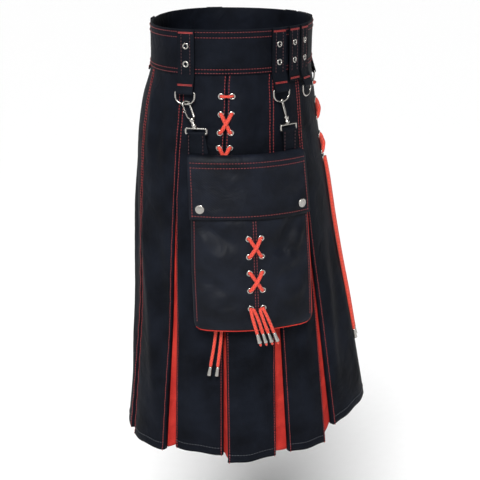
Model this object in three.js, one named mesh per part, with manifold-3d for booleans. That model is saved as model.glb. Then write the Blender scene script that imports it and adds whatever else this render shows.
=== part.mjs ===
// Utility kilt, worn shape with no wearer. Millimetres, +Z up, front at -Y, wearer's right at -X.
// The origin is the centre of the waistband ring at half its height.
import * as THREE from "three";
import { mergeVertices } from "three/addons/utils/BufferGeometryUtils.js";
import Module from "manifold-3d";

const wasm = await Module();
wasm.setup();

// Heights
const RIM = 30;
const SEAM = -30;
const OPENING = -200;
const HEM = -575;

// Cloth
const WALL = 1.8;
const CLEAR = 0.3;
const RETURN = 12;
const FOLD_TOP = 4.2;
const FOLD_HEM = 9;
const GAP_TOP = 0.6;
const GAP_HEM = 20;
const HIP_GAP_HEM = 7;
const INSET_CLEAR = 0.6;
const INSET_THICK = 1.5;

// Sections of the skirt: half width, reach to front and back, where it is widest, roundness of each half
const SECTIONS = [
  { z: 30, half: 152, front: 113, back: 113, mid: 20, foreRound: 2.25, rearRound: 2.4 },
  { z: -30, half: 153, front: 112, back: 114, mid: 20, foreRound: 2.25, rearRound: 2.4 },
  { z: -75, half: 157, front: 118, back: 127, mid: 16, foreRound: 2.2, rearRound: 2.4 },
  { z: -130, half: 162, front: 125, back: 136, mid: 10, foreRound: 2.1, rearRound: 2.4 },
  { z: -200, half: 166, front: 138, back: 139, mid: 4, foreRound: 2.0, rearRound: 2.4 },
  { z: -290, half: 170, front: 153, back: 140, mid: -3, foreRound: 1.9, rearRound: 2.4 },
  { z: -375, half: 173, front: 170, back: 141, mid: -8, foreRound: 1.8, rearRound: 2.4 },
  { z: -455, half: 176, front: 185, back: 146, mid: -11, foreRound: 1.72, rearRound: 2.5 },
  { z: -575, half: 181, front: 206, back: 157, mid: -14, foreRound: 1.65, rearRound: 2.6 },
];

// Cut of the apron and the side panels, front to rear: widths, how far the hem is lifted or stands out
const APRON = { waist: 84, hip: 99, hem: 106, edgeLift: 20, midLift: 33 };
const PANELS = [
  { waist: 52, hip: 63, hem: 66, liftFore: 0, liftRear: 0, outFore: 0, outRear: 0 },
  { waist: 62, hip: 71, hem: 71, liftFore: 0, liftRear: -4, outFore: 0, outRear: 8 },
  { waist: 60, hip: 67, hem: 70, liftFore: 2, liftRear: 9, outFore: -5, outRear: 0 },
  { waist: 72, hip: 78, hem: 78, liftFore: 0, liftRear: 0, outFore: 0, outRear: 0 },
  { waist: 0, hip: 0, hem: 0, liftFore: 0, liftRear: 0, outFore: 0, outRear: 0 },
];
const LEVELS = [SEAM - CLEAR, -75, -130, OPENING, -260, -330, -410, -490, HEM];
const INSET_LEVELS = [OPENING + 25, -240, -320, -410, -490, HEM + 1];

// Waistband and belt loops
const BAND_OUT = 1.5;
const BAND_IN = 1.5;
const LOOP = { width: 24, thick: 2, top: RIM - 0.5, end: -44, off: 0.35 };
const LOOPS = [
  { name: "hip_rear", s: 254, ring: "r" },
  { name: "hip_front", s: 126, ring: "r" },
  { name: "front_plain", s: 96, ring: "" },
  { name: "front_ring", s: 68, ring: "rl" },
];

// D-rings: wire radius, half width and drop of its centre line, place of the bar
const RING = { wire: 1.2, half: 14, drop: 15.5, z: -53, out: 6.4 };
const FOLD_CLEAR = 0.3;

// Snap hooks: wire, loop and eye that takes the pocket's strap
const HOOK = {
  wire: 1.5, half: 4.9, drop: 26, boss: 3.4, clear: 1.2, eyeHalf: 14.2, eyeHigh: 7, eyeWire: 1.3, eyeZ: -103,
};
const HOOK_TURN = { rear: -0.25 * Math.PI, front: -0.27 * Math.PI };

// Hanging pocket: middle line, half width, heights, distances out from the skirt
const POCKET = { sTop: 190, sLow: 219, half: 76, top: -137, bottom: -375, flapEnd: -220, corner: 12 };
const POCKET_OUT = { back: 7, bag: 9.75, front: 19, frontLow: 27, eye: 9.4 };
const STRAP_WIDTH = 24.4;
const STRAP_THICK = 1.4;
const STRAP_U = [POCKET.half - 14, -POCKET.half + 13];
const FLAP_FACE = { bend: 40, high: 23.4, low: 26, thick: 1.8 };
const SNAP = { radius: 6.5, thick: 2.5, inset: 13, z: -205, off: 0.8 };

// Lacing
const CORD = { radius: 2.3, sides: 8, half: 7, pitch: 24.5 };
const TIP = { radius: 2.5, long: 13 };
const SIDE_LACE = { bar: -58, crosses: [-82, -127] };
const FRONT_LACE = { bar: -61, crosses: [-86, -137] };
const POCKET_LACE = { crosses: [-246, -293] };

// Smooth value through the section rows at height z
function sectionAt(z) {
  const last = SECTIONS.length - 1;
  const low = THREE.MathUtils.clamp(z, HEM, RIM);
  let i = 0;
  while (i < last - 1 && low < SECTIONS[i + 1].z) i += 1;
  const a = SECTIONS[i];
  const b = SECTIONS[i + 1];
  const before = SECTIONS[Math.max(0, i - 1)];
  const after = SECTIONS[Math.min(last, i + 2)];
  const span = b.z - a.z;
  const t = (low - a.z) / span;
  const value = {};
  for (const key of ["half", "front", "back", "mid", "foreRound", "rearRound"]) {
    const slopeA = ((b[key] - before[key]) / (b.z - before.z)) * span;
    const slopeB = ((after[key] - a[key]) / (after.z - a.z)) * span;
    const t2 = t * t;
    const t3 = t2 * t;
    value[key] = (2 * t3 - 3 * t2 + 1) * a[key] + (t3 - 2 * t2 + t) * slopeA
      + (-2 * t3 + 3 * t2) * b[key] + (t3 - t2) * slopeB;
  }
  return value;
}

// Right half of the section as points with their arc length from the centre front
const halves = new Map();
function halfSection(z) {
  const key = z.toFixed(2);
  if (halves.has(key)) return halves.get(key);
  const f = sectionAt(z);
  const steps = 180;
  const points = [];
  let run = 0;
  for (let k = 0; k <= steps; k += 1) {
    const turn = (Math.PI * k) / steps;
    const across = Math.sin(turn);
    const along = Math.cos(turn);
    const power = along >= 0 ? 2 / f.foreRound : 2 / f.rearRound;
    const reach = along >= 0 ? -(f.front + f.mid) : f.back - f.mid;
    const x = k === 0 || k === steps ? 0 : -f.half * across ** power;
    const y = f.mid + reach * Math.abs(along) ** power;
    const was = points[k - 1];
    if (was) run += Math.hypot(x - was.x, y - was.y);
    points.push({ x, y, run });
  }
  halves.set(key, points);
  return points;
}

const halfLength = (z) => halfSection(z).at(-1).run;

// Point of the plan at arc position s, negative on the wearer's left
function planPoint(s, z) {
  const points = halfSection(z);
  const total = points.at(-1).run;
  let side = s < 0 ? -1 : 1;
  let want = Math.abs(s);
  if (want > total) {
    want = 2 * total - want;
    side = -side;
  }
  let k = 1;
  while (k < points.length - 1 && points[k].run < want) k += 1;
  const a = points[k - 1];
  const b = points[k];
  const t = (want - a.run) / (b.run - a.run);
  return { x: side * (a.x + (b.x - a.x) * t), y: a.y + (b.y - a.y) * t };
}

// Direction out of the plan at s
function outward(s, z) {
  const reach = 4;
  const a = planPoint(s - reach, z);
  const b = planPoint(s + reach, z);
  const long = Math.hypot(b.x - a.x, b.y - a.y);
  return { x: (b.y - a.y) / long * -1, y: (b.x - a.x) / long };
}

function onForm(s, z, out) {
  const p = planPoint(s, z);
  const n = outward(s, z);
  return new THREE.Vector3(p.x + n.x * out, p.y + n.y * out, z);
}

// How far a height is below the waist seam, 0 there and 1 at the hem
const below = (z) => THREE.MathUtils.clamp((SEAM - z) / (SEAM - HEM), 0, 1);
const opened = (z) => THREE.MathUtils.clamp((OPENING - z) / (OPENING - HEM), 0, 1);
const foldDepth = (z) => FOLD_TOP + (FOLD_HEM - FOLD_TOP) * opened(z);
const gapAt = (z, hem) => GAP_TOP + hem * opened(z);

function cutWidth(cut, z) {
  const toHip = THREE.MathUtils.clamp((SEAM - z) / (SEAM - OPENING), 0, 1);
  return cut.waist + (cut.hip - cut.waist) * toHip + (cut.hem - cut.hip) * opened(z);
}

// Arc positions of the panels' edges at height z, front to rear
function edges(z) {
  const hemGaps = [GAP_HEM, GAP_HEM, HIP_GAP_HEM, GAP_HEM, GAP_HEM];
  const result = [];
  let s = cutWidth(APRON, z);
  PANELS.forEach((cut, i) => {
    s += gapAt(z, hemGaps[i]);
    const fore = s;
    s = i === PANELS.length - 1 ? halfLength(z) - gapAt(z, GAP_HEM) / 2 : s + cutWidth(cut, z);
    result.push({ fore, rear: s });
  });
  return result;
}

// One closed mesh from positions and triangles, with its faces turned out
function closedMesh(positions, faces) {
  let volume = 0;
  const a = new THREE.Vector3();
  const b = new THREE.Vector3();
  const c = new THREE.Vector3();
  for (const [i, j, k] of faces) {
    a.copy(positions[i]);
    b.copy(positions[j]);
    c.copy(positions[k]);
    volume += a.dot(b.cross(c));
  }
  const turned = volume < 0 ? faces.map(([i, j, k]) => [i, k, j]) : faces;
  const geometry = new THREE.BufferGeometry().setFromPoints(positions);
  geometry.setIndex(turned.flat());
  return geometry;
}

// Triangles of a flat-ish closed outline
function capFaces(ring) {
  const normal = new THREE.Vector3();
  ring.forEach((p, i) => {
    const q = ring[(i + 1) % ring.length];
    normal.x += (p.y - q.y) * (p.z + q.z);
    normal.y += (p.z - q.z) * (p.x + q.x);
    normal.z += (p.x - q.x) * (p.y + q.y);
  });
  normal.normalize();
  const turn = new THREE.Quaternion().setFromUnitVectors(normal, new THREE.Vector3(0, 0, 1));
  const flat = ring.map((p) => {
    const q = p.clone().applyQuaternion(turn);
    return new THREE.Vector2(q.x, q.y);
  });
  return THREE.ShapeUtils.triangulateShape(flat, []);
}

// Wall through a row of equal rings, capped at both ends unless it runs round
function loft(rings, round = false) {
  const many = rings[0].length;
  const positions = rings.flat();
  const faces = [];
  const bands = round ? rings.length : rings.length - 1;
  for (let r = 0; r < bands; r += 1) {
    const here = r * many;
    const next = ((r + 1) % rings.length) * many;
    for (let i = 0; i < many; i += 1) {
      const j = (i + 1) % many;
      faces.push([here + i, here + j, next + j], [here + i, next + j, next + i]);
    }
  }
  if (!round) {
    const end = (rings.length - 1) * many;
    capFaces(rings[0]).forEach(([i, j, k]) => faces.push([i, k, j]));
    capFaces(rings.at(-1)).forEach(([i, j, k]) => faces.push([end + i, end + j, end + k]));
  }
  return closedMesh(positions, faces);
}

function mirrored(geometry) {
  const copy = geometry.clone();
  copy.scale(-1, 1, 1);
  const order = copy.index.array;
  for (let i = 0; i < order.length; i += 3) [order[i + 1], order[i + 2]] = [order[i + 2], order[i + 1]];
  return copy;
}

function solid(geometry) {
  const bare = new THREE.BufferGeometry();
  bare.setAttribute("position", geometry.attributes.position);
  if (geometry.index) bare.setIndex(geometry.index);
  const merged = mergeVertices(bare, 1e-3);
  return new wasm.Manifold(new wasm.Mesh({
    numProp: 3,
    vertProperties: merged.attributes.position.array,
    triVerts: new Uint32Array(merged.index.array),
  }));
}

function joined(geometries) {
  const whole = geometries.map(solid).reduce((a, b) => a.add(b));
  const mesh = whole.getMesh();
  const geometry = new THREE.BufferGeometry();
  geometry.setAttribute("position", new THREE.BufferAttribute(mesh.vertProperties, 3));
  geometry.setIndex(new THREE.BufferAttribute(mesh.triVerts, 1));
  return geometry;
}

// Round wire along points; a closed one has no ends
function wire(points, radius, sides, steps, closed = false) {
  const curve = new THREE.CatmullRomCurve3(points, closed, "centripetal");
  if (closed) return new THREE.TubeGeometry(curve, steps, radius, sides, true);
  const section = new THREE.Shape();
  for (let k = 0; k < sides; k += 1) {
    const turn = (2 * Math.PI * k) / sides;
    const x = radius * Math.cos(turn);
    const y = radius * Math.sin(turn);
    if (k === 0) section.moveTo(x, y);
    else section.lineTo(x, y);
  }
  section.closePath();
  return new THREE.ExtrudeGeometry(section, { steps, extrudePath: curve, bevelEnabled: false });
}

// Section of a panel at one level: its face, both folded edges and their returns, as one closed wall
function panelRing(level, span, shape) {
  const { fore, rear } = span(level);
  const samples = shape.samples;
  const depth = foldDepth(level);
  const round = 1.2;
  const place = (s, out, part = THREE.MathUtils.clamp((s - fore) / (rear - fore), 0, 1)) => {
    const t = below(level);
    const z = level + shape.lift(part) * t * t;
    return onForm(s, z, out + shape.out(part) * t * t);
  };
  const ring = [];
  for (let k = 0; k <= samples; k += 1) ring.push(place(fore + round + ((rear - fore - 2 * round) * k) / samples, 0));
  ring.push(place(rear, -round), place(rear, -depth), place(rear - RETURN, -depth, 1));
  ring.push(place(rear - RETURN, WALL - depth, 1), place(rear - WALL, WALL - depth, 1));
  for (let k = samples; k >= 0; k -= 1) {
    ring.push(place(fore + WALL + ((rear - fore - 2 * WALL) * k) / samples, -WALL));
  }
  ring.push(place(fore + WALL, WALL - depth, 0), place(fore + RETURN, WALL - depth, 0));
  ring.push(place(fore + RETURN, -depth, 0), place(fore, -depth), place(fore, -round));
  return ring;
}

function panel(i) {
  const cut = PANELS[i];
  const shape = {
    samples: 5,
    lift: (part) => cut.liftFore + (cut.liftRear - cut.liftFore) * part,
    out: (part) => cut.outFore + (cut.outRear - cut.outFore) * part,
  };
  return loft(LEVELS.map((z) => panelRing(z, (level) => edges(level)[i], shape)));
}

function apron() {
  const shape = {
    samples: 16,
    lift: (part) => APRON.edgeLift + (APRON.midLift - APRON.edgeLift) * Math.sin(Math.PI * part),
    out: () => 0,
  };
  const span = (level) => ({ fore: -cutWidth(APRON, level), rear: cutWidth(APRON, level) });
  return loft(LEVELS.map((z) => panelRing(z, span, shape)));
}

// Red strip behind an opening, from under one return to under the next, between the two hems' lifts and reaches
function inset(span, near, far) {
  const rings = INSET_LEVELS.map((level) => {
    const { fore, rear } = span(level);
    const t = below(level);
    const row = (deeper) => [fore - RETURN, fore, (fore + rear) / 2, rear, rear + RETURN].map((s, k) => {
      const part = THREE.MathUtils.clamp((k - 1) / 2, 0, 1);
      const lift = near.lift + (far.lift - near.lift) * part;
      const reach = near.out + (far.out - near.out) * part;
      return onForm(s, level + lift * t * t, reach * t * t - foldDepth(level) - INSET_CLEAR - deeper);
    });
    return row(0).concat(row(INSET_THICK).reverse());
  });
  return loft(rings);
}

function waistband() {
  const steps = 60;
  const rings = [];
  for (let k = 0; k < steps; k += 1) {
    const part = (2 * k) / steps;
    const corner = (z, out) => onForm(part * halfLength(z), z, out);
    rings.push([
      corner(SEAM, BAND_OUT), corner(0, BAND_OUT), corner(RIM, BAND_OUT),
      corner(RIM, -BAND_IN), corner(0, -BAND_IN), corner(SEAM, -BAND_IN),
    ]);
  }
  return loft(rings, true);
}

// Upright frame on the form at s: along the cloth to the rear, out of it, and up
function frameAt(s) {
  const n = outward(s, 0);
  return {
    out: new THREE.Vector3(n.x, n.y, 0),
    along: new THREE.Vector3(-n.y, n.x, 0),
    base: onForm(s, 0, 0),
  };
}

// Distance that the form stands out at height z, from its place at the waist
function reachAt(s, z) {
  const frame = frameAt(s);
  return onForm(s, z, 0).sub(frame.base).dot(frame.out);
}

function strapFrom(outline, frame, width) {
  const rings = [-0.5, 0.5].map((side) => outline.map(([out, z]) => frame.base.clone()
    .addScaledVector(frame.along, side * width)
    .addScaledVector(frame.out, out)
    .setZ(z)));
  return loft(rings);
}

// Least distance from the frame's plane that clears the band behind a loop
function loopFloor(s) {
  const frame = frameAt(s);
  let most = -Infinity;
  for (const z of [RIM, 0, SEAM]) {
    for (const side of [-0.5, -0.25, 0, 0.25, 0.5]) {
      const p = onForm(s + side * LOOP.width, z, BAND_OUT).sub(frame.base);
      most = Math.max(most, p.dot(frame.out));
    }
  }
  return most + LOOP.off;
}

function plainLoop(s) {
  const inner = loopFloor(s);
  const outer = inner + LOOP.thick;
  const low = Math.max(0, reachAt(s, LOOP.end)) + inner;
  const outline = [[inner, LOOP.top], [outer, LOOP.top], [outer, SEAM], [low + LOOP.thick, LOOP.end],
    [low, LOOP.end], [inner, SEAM]];
  return strapFrom(outline, frameAt(s), LOOP.width);
}

const barOut = (s) => reachAt(s, RING.z) + RING.out;

// Belt loop whose end turns back round the ring's bar
function ringLoop(s) {
  const inner = loopFloor(s);
  const outer = inner + LOOP.thick;
  const centre = barOut(s);
  const hole = RING.wire + FOLD_CLEAR;
  const skin = hole + 1.5;
  const arc = (radius, from, to, steps) => {
    const points = [];
    for (let k = 0; k <= steps; k += 1) {
      const turn = from + ((to - from) * k) / steps;
      points.push([centre + radius * Math.cos(turn), RING.z + radius * Math.sin(turn)]);
    }
    return points;
  };
  const rise = 0.45 * Math.PI;
  const outline = [[outer, LOOP.top], [outer, SEAM], ...arc(skin, rise / 2, -1.2 * Math.PI, 9),
    ...arc(hole, -1.2 * Math.PI, rise / 2, 9), [inner, SEAM - 3], [inner, LOOP.top]];
  return strapFrom(outline, frameAt(s), LOOP.width);
}

// Outline of a D-ring's centre line, hung from its bar
function ringPath(bar, along, down) {
  const { half, drop } = RING;
  const side = [[half - 1.4, 0], [half - 0.4, 0.4], [half, 1.4], [half * 0.96, drop * 0.52],
    [half * 0.72, drop * 0.82], [half * 0.36, drop * 0.97]];
  const outline = [[0, 0], [half * 0.5, 0], ...side, [0, drop],
    ...side.map(([x, y]) => [-x, y]).reverse(), [-half * 0.5, 0]];
  return outline.map(([x, y]) => bar.clone().addScaledVector(along, x).addScaledVector(down, y));
}

function ringPlace(s) {
  const frame = frameAt(s);
  const bar = frame.base.clone().addScaledVector(frame.out, barOut(s)).setZ(RING.z);
  return { bar, ...frame };
}

const DOWN = new THREE.Vector3(0, 0, -1);

function dRing(s) {
  const { bar, along } = ringPlace(s);
  return wire(ringPath(bar, along, DOWN), RING.wire, 6, 30, true);
}

// Middle line of the pocket in arc length, with its lean toward the rear lower down
function pocketMiddle(z) {
  const t = (POCKET.top - z) / (POCKET.top - POCKET.bottom);
  return POCKET.sTop + (POCKET.sLow - POCKET.sTop) * t;
}

// Pocket's own coordinates: u across it toward the rear, z, and distance out of the smoothed skirt
function onPocket(u, z, out) {
  return onForm(pocketMiddle(z) + u, z, out);
}

// Place and axes of the eye that takes a pocket strap
function eyePlace(u) {
  const z = HOOK.eyeZ;
  const s = pocketMiddle(POCKET.top) + u;
  const n = outward(s, z);
  return {
    middle: onForm(s, z, POCKET_OUT.eye),
    out: new THREE.Vector3(n.x, n.y, 0),
    along: new THREE.Vector3(-n.y, n.x, 0),
  };
}

// Snap hook: a long loop through the D-ring, a round boss and a rectangular eye
function snapHook(s, u, turn) {
  const ring = ringPlace(s);
  const eye = eyePlace(u);
  const low = ring.bar.clone().addScaledVector(DOWN, RING.drop);
  const top = low.clone().addScaledVector(DOWN, -(RING.wire + HOOK.clear + HOOK.wire));
  const toEye = eye.middle.clone().sub(top).normalize();
  const wide = ring.along.clone().multiplyScalar(Math.cos(turn)).addScaledVector(ring.out, Math.sin(turn));
  wide.addScaledVector(toEye, -wide.dot(toEye)).normalize();
  const { half, drop } = HOOK;
  const outline = [[0, 0], [half * 0.75, 1.2], [half, 4.2], [half, drop * 0.55], [half * 0.9, drop - 3.5],
    [half * 0.5, drop - 0.6], [0, drop], [-half * 0.5, drop - 0.6], [-half * 0.9, drop - 3.5],
    [-half, drop * 0.55], [-half, 4.2], [-half * 0.75, 1.2]];
  const loop = wire(outline.map(([x, y]) => top.clone().addScaledVector(wide, x).addScaledVector(toEye, y)),
    HOOK.wire, 6, 24, true);
  const long = eye.middle.distanceTo(top);
  const eyeTop = top.clone().addScaledVector(toEye, long - HOOK.eyeHigh / 2);
  const bossTop = top.clone().addScaledVector(toEye, drop - 0.8);
  const boss = wire([bossTop, bossTop.clone().lerp(eyeTop, 0.5), eyeTop], HOOK.boss, 8, 2);
  const frame = [[0, 0], [HOOK.eyeHalf - 1, 0], [HOOK.eyeHalf, 1], [HOOK.eyeHalf, HOOK.eyeHigh - 1],
    [HOOK.eyeHalf - 1, HOOK.eyeHigh], [0, HOOK.eyeHigh], [1 - HOOK.eyeHalf, HOOK.eyeHigh],
    [-HOOK.eyeHalf, HOOK.eyeHigh - 1], [-HOOK.eyeHalf, 1], [1 - HOOK.eyeHalf, 0]];
  const eyeLoop = wire(frame.map(([x, y]) => eye.middle.clone()
    .addScaledVector(DOWN, y - HOOK.eyeHigh / 2).addScaledVector(eye.along, x)), HOOK.eyeWire, 6, 28, true);
  return joined([loop, boss, eyeLoop]);
}

// Pocket strap: up from the pocket's back, round the eye's lower bar and down again behind
function pocketStrap(u) {
  const eye = eyePlace(u);
  const barZ = eye.middle.z - HOOK.eyeHigh / 2;
  const hole = HOOK.eyeWire + FOLD_CLEAR;
  const skin = hole + STRAP_THICK;
  const lower = POCKET.top - 6;
  const lowPoint = onForm(pocketMiddle(lower) + u, lower, POCKET_OUT.back + 0.9);
  const lean = lowPoint.clone().sub(eye.middle).dot(eye.out);
  const slip = lowPoint.clone().sub(eye.middle).dot(eye.along);
  const outline = [[lean - 0.7, lower], [lean + 0.7, lower], [lean * 0.5 + 0.8, barZ - 16]];
  const steps = 10;
  for (let k = 0; k <= steps; k += 1) {
    const turn = -0.3 + ((Math.PI + 0.9) * k) / steps;
    outline.push([skin * Math.cos(turn), barZ + skin * Math.sin(turn)]);
  }
  for (let k = steps; k >= 0; k -= 1) {
    const turn = -0.3 + ((Math.PI + 0.9) * k) / steps;
    if (turn > 0.1) outline.push([hole * Math.cos(turn), barZ + hole * Math.sin(turn)]);
  }
  outline.push([hole * 0.95, barZ - hole * 1.4]);
  const rings = [-0.5, 0.5].map((side) => outline.map(([out, z]) => {
    const part = THREE.MathUtils.clamp((barZ - z) / (barZ - lower), 0, 1);
    return eye.middle.clone()
      .addScaledVector(eye.along, side * STRAP_WIDTH + slip * part)
      .addScaledVector(eye.out, out)
      .setZ(z);
  }));
  return loft(rings);
}

// Sheet of the pocket between two heights, at given distances out
function pocketSheet(rows, half, thick) {
  const samples = 8;
  const rings = rows.map(({ z, out, trim = 0 }) => {
    const across = [];
    for (let k = 0; k <= samples; k += 1) across.push(-half + trim + ((2 * (half - trim)) * k) / samples);
    const face = across.map((u) => onPocket(u, z, out));
    const rear = across.map((u) => onPocket(u, z, out - thick)).reverse();
    return face.concat(rear);
  });
  return loft(rings);
}

function pocketBack() {
  const { top, bottom, half, corner } = POCKET;
  const out = POCKET_OUT.back + 2;
  const rows = [top, -200, -260, -320, bottom + corner].map((z) => ({ z, out }));
  rows.push({ z: bottom + corner * 0.3, out, trim: corner * 0.3 });
  rows.push({ z: bottom, out, trim: corner });
  return joined([pocketSheet(rows, half, 2), ...STRAP_U.map(pocketStrap)]);
}

// Distance out of the bag's front at height z: it fills toward the bottom
function bagFront(z) {
  const fill = 150;
  const t = THREE.MathUtils.clamp((POCKET.top - 8 - z) / fill, 0, 1);
  return POCKET_OUT.front + (POCKET_OUT.frontLow - POCKET_OUT.front) * t;
}

// Front of the pocket with its side and bottom gussets: a tray open at the top and toward the back
function pocketBag() {
  const { top, bottom, half, corner } = POCKET;
  const samples = 8;
  const back = POCKET_OUT.bag;
  const ringAt = (z, trim, out) => {
    const wide = half - trim;
    const ring = [];
    const face = [];
    for (let k = 0; k <= samples; k += 1) face.push(-wide + 2 + ((2 * wide - 4) * k) / samples);
    ring.push(onPocket(-wide, z, back), onPocket(-wide, z, out - 3));
    face.forEach((u) => ring.push(onPocket(u, z, out)));
    ring.push(onPocket(wide, z, out - 3), onPocket(wide, z, back), onPocket(wide - WALL, z, back));
    ring.push(onPocket(wide - WALL, z, out - 4));
    face.reverse().forEach((u) => ring.push(onPocket(u * 0.96, z, out - WALL)));
    ring.push(onPocket(-wide + WALL, z, out - 4), onPocket(-wide + WALL, z, back));
    return ring;
  };
  const levels = [top - 10, -180, -230, -280, -330, bottom + corner];
  const rings = levels.map((z) => ringAt(z, 0, bagFront(z)));
  const base = [
    { z: bottom + corner, trim: 0, out: bagFront(bottom) },
    { z: bottom + 3, trim: 3, out: bagFront(bottom) - 1 },
    { z: bottom - 1, trim: corner, out: bagFront(bottom) - 4 },
  ].map(({ z, trim, out }) => {
    const wide = half - trim;
    const ring = [];
    for (let k = 0; k <= samples; k += 1) ring.push(onPocket(-wide + (2 * wide * k) / samples, z, out));
    for (let k = samples; k >= 0; k -= 1) ring.push(onPocket(-wide + (2 * wide * k) / samples, z, back));
    return ring;
  });
  const floor = loft([base[0].map((p) => p.clone().setZ(p.z - corner + 4)), base[1], base[2]]);
  const wall = loft(rings.concat([ringAt(bottom + 3, 3, bagFront(bottom) - 1)]));
  return joined([wall, floor]);
}

// Flap: sewn flat on the back's top edge, over the mouth and down the front
function pocketFlap() {
  const { top, flapEnd, half } = POCKET;
  const { bend, high, low, thick } = FLAP_FACE;
  const samples = 8;
  const outside = [[9.9, top - 8], [9.9, top + 2.4], [13, top + 3.4], [18.5, top + 1.6], [21.6, top - 5],
    [high, top - bend], [low, flapEnd]];
  const inside = [[low - thick, flapEnd], [high - thick, top - bend], [19.8, top - 6], [17.6, top - 0.4],
    [13, top + 1.4], [11.6, top + 0.6], [11.6, top - 8]];
  const rings = [];
  for (let k = 0; k <= samples; k += 1) {
    const u = -half - 0.5 + ((2 * half + 1) * k) / samples;
    rings.push(outside.concat(inside).map(([out, z]) => onPocket(u, z, out)));
  }
  return loft(rings);
}

// Distance out of the flap's face at height z
function flapFace(z) {
  const { bend, high, low } = FLAP_FACE;
  const part = (POCKET.top - bend - z) / (POCKET.top - bend - POCKET.flapEnd);
  return high + (low - high) * part;
}

function snap(u) {
  const s = pocketMiddle(SNAP.z) + u;
  const n = outward(s, SNAP.z);
  const away = new THREE.Vector3(n.x, n.y, 0);
  const face = flapFace(SNAP.z) + SNAP.off;
  const geometry = new THREE.CylinderGeometry(SNAP.radius * 0.8, SNAP.radius, SNAP.thick, 16);
  geometry.applyQuaternion(new THREE.Quaternion().setFromUnitVectors(new THREE.Vector3(0, 1, 0), away));
  const middle = onForm(s, SNAP.z, face + SNAP.thick / 2);
  geometry.translate(middle.x, middle.y, middle.z);
  return geometry;
}

// Lacing column on any surface given by place(u, z, out)
function crossing(place, z, step) {
  const { half, radius } = CORD;
  const low = z - step;
  const mid = (z + low) / 2;
  const under = radius + CLEAR;
  const over = under + radius * 0.55;
  const strand = (side, height) => [
    place(side * half, z, under),
    place(side * half * 0.45, mid + step * 0.22, (under + height) / 2),
    place(0, mid, height),
    place(-side * half * 0.45, mid - step * 0.22, (under + height) / 2),
    place(-side * half, low, under),
  ];
  return joined([wire(strand(1, under), radius, 8, 6), wire(strand(-1, over), radius, 8, 6)]);
}

function laceBar(place, z) {
  const { half, radius } = CORD;
  const out = radius + CLEAR;
  return wire([place(-half, z, out), place(0, z, out + 0.5), place(half, z, out)], radius, 8, 4);
}

// Free end of a lace down its points, with its metal tip
function laceEnd(points, steps) {
  const cord = wire(points, CORD.radius, CORD.sides, steps);
  const end = points.at(-1);
  const along = end.clone().sub(points.at(-2)).normalize();
  const from = end.clone().addScaledVector(along, -0.5);
  const to = end.clone().addScaledVector(along, TIP.long);
  return joined([cord, wire([from, from.clone().lerp(to, 0.5), to], TIP.radius, 8, 2)]);
}

const onHip = (u, z, out) => {
  const e = edges(z);
  return onForm((e[1].rear + e[2].fore) / 2 + u, z, out);
};
const onApron = (u, z, out) => onForm(u, z, out);
const onBag = (u, z, out) => onPocket(u, z, bagFront(z) + out);

// Routes of the free ends, chosen by hand: across, height and distance out
const SIDE_ENDS = [
  [[-5, -157, 2.8], [0, -190, 2.9], [1, -240, 3.1], [2, -300, 3.2], [3, -350, 3.4], [4, -390, 5], [9, -436, 6]],
  [[5, -157, 2.8], [9, -190, 2.9], [9, -240, 3], [9, -300, 3.1], [10, -350, 3.4], [12, -390, 5], [19, -436, 6]],
];
const FRONT_ENDS = [
  [[-5, -170, 2.9], [-6, -200, 3.4], [-8, -260, 3.4], [-10, -320, 3.6], [-8, -380, 4], [-9, -436, 4]],
  [[5, -170, 2.9], [8, -200, 3.4], [11, -260, 3.4], [9, -320, 3.6], [10, -380, 4], [8, -436, 4]],
];
const POCKET_ENDS = [
  [[-7, -345, 2.6], [-11.5, -358, 6], [-17.5, -378, 8]],
  [[-2, -345, 2.6], [-5.5, -358, 6.3], [-10.8, -378, 8]],
  [[3, -345, 2.6], [0.2, -358, 6.3], [-4.4, -378, 8]],
  [[8, -345, 2.6], [6, -358, 6], [2, -378, 8]],
];

// Colours
const CLOTH = new THREE.MeshStandardMaterial({ color: 0x1a1e27, roughness: 0.85 });
const RED_CLOTH = new THREE.MeshStandardMaterial({ color: 0xd23b33, roughness: 0.85 });
const RED_CORD = new THREE.MeshStandardMaterial({ color: 0xf0503a, roughness: 0.7 });
const NICKEL = new THREE.MeshStandardMaterial({ color: 0xc8c6c0, roughness: 0.3, metalness: 1 });

const kilt = new THREE.Group();
function put(name, geometry, material) {
  const mesh = new THREE.Mesh(geometry, material);
  mesh.name = name;
  kilt.add(mesh);
}

put("waistband", waistband(), CLOTH);
put("front_apron", apron(), CLOTH);
PANELS.forEach((cut, i) => {
  const gore = panel(i);
  put(`panel_r${i + 1}`, gore, CLOTH);
  put(`panel_l${i + 1}`, mirrored(gore), CLOTH);
  const span = (z) => ({ fore: i === 0 ? cutWidth(APRON, z) : edges(z)[i - 1].rear, rear: edges(z)[i].fore });
  const last = PANELS[i - 1];
  const near = last ? { lift: last.liftRear, out: last.outRear } : { lift: APRON.edgeLift, out: 0 };
  const strip = inset(span, near, { lift: cut.liftFore, out: cut.outFore });
  put(`inset_r${i + 1}`, strip, RED_CLOTH);
  put(`inset_l${i + 1}`, mirrored(strip), RED_CLOTH);
});
const backSpan = (z) => ({ fore: edges(z).at(-1).rear, rear: 2 * halfLength(z) - edges(z).at(-1).rear });
const plainHem = { lift: 0, out: 0 };
put("inset_back", inset(backSpan, plainHem, plainHem), RED_CLOTH);

LOOPS.forEach(({ name, s, ring }) => {
  ["r", "l"].forEach((side) => {
    const strap = ring.includes(side) ? ringLoop(s) : plainLoop(s);
    put(`loop_${name}_${side}`, side === "r" ? strap : mirrored(strap), CLOTH);
    if (!ring.includes(side)) return;
    const metal = dRing(s);
    put(`ring_${name}_${side}`, side === "r" ? metal : mirrored(joined([metal])), NICKEL);
  });
});
put("loop_back", plainLoop(halfLength(0)), CLOTH);

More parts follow.
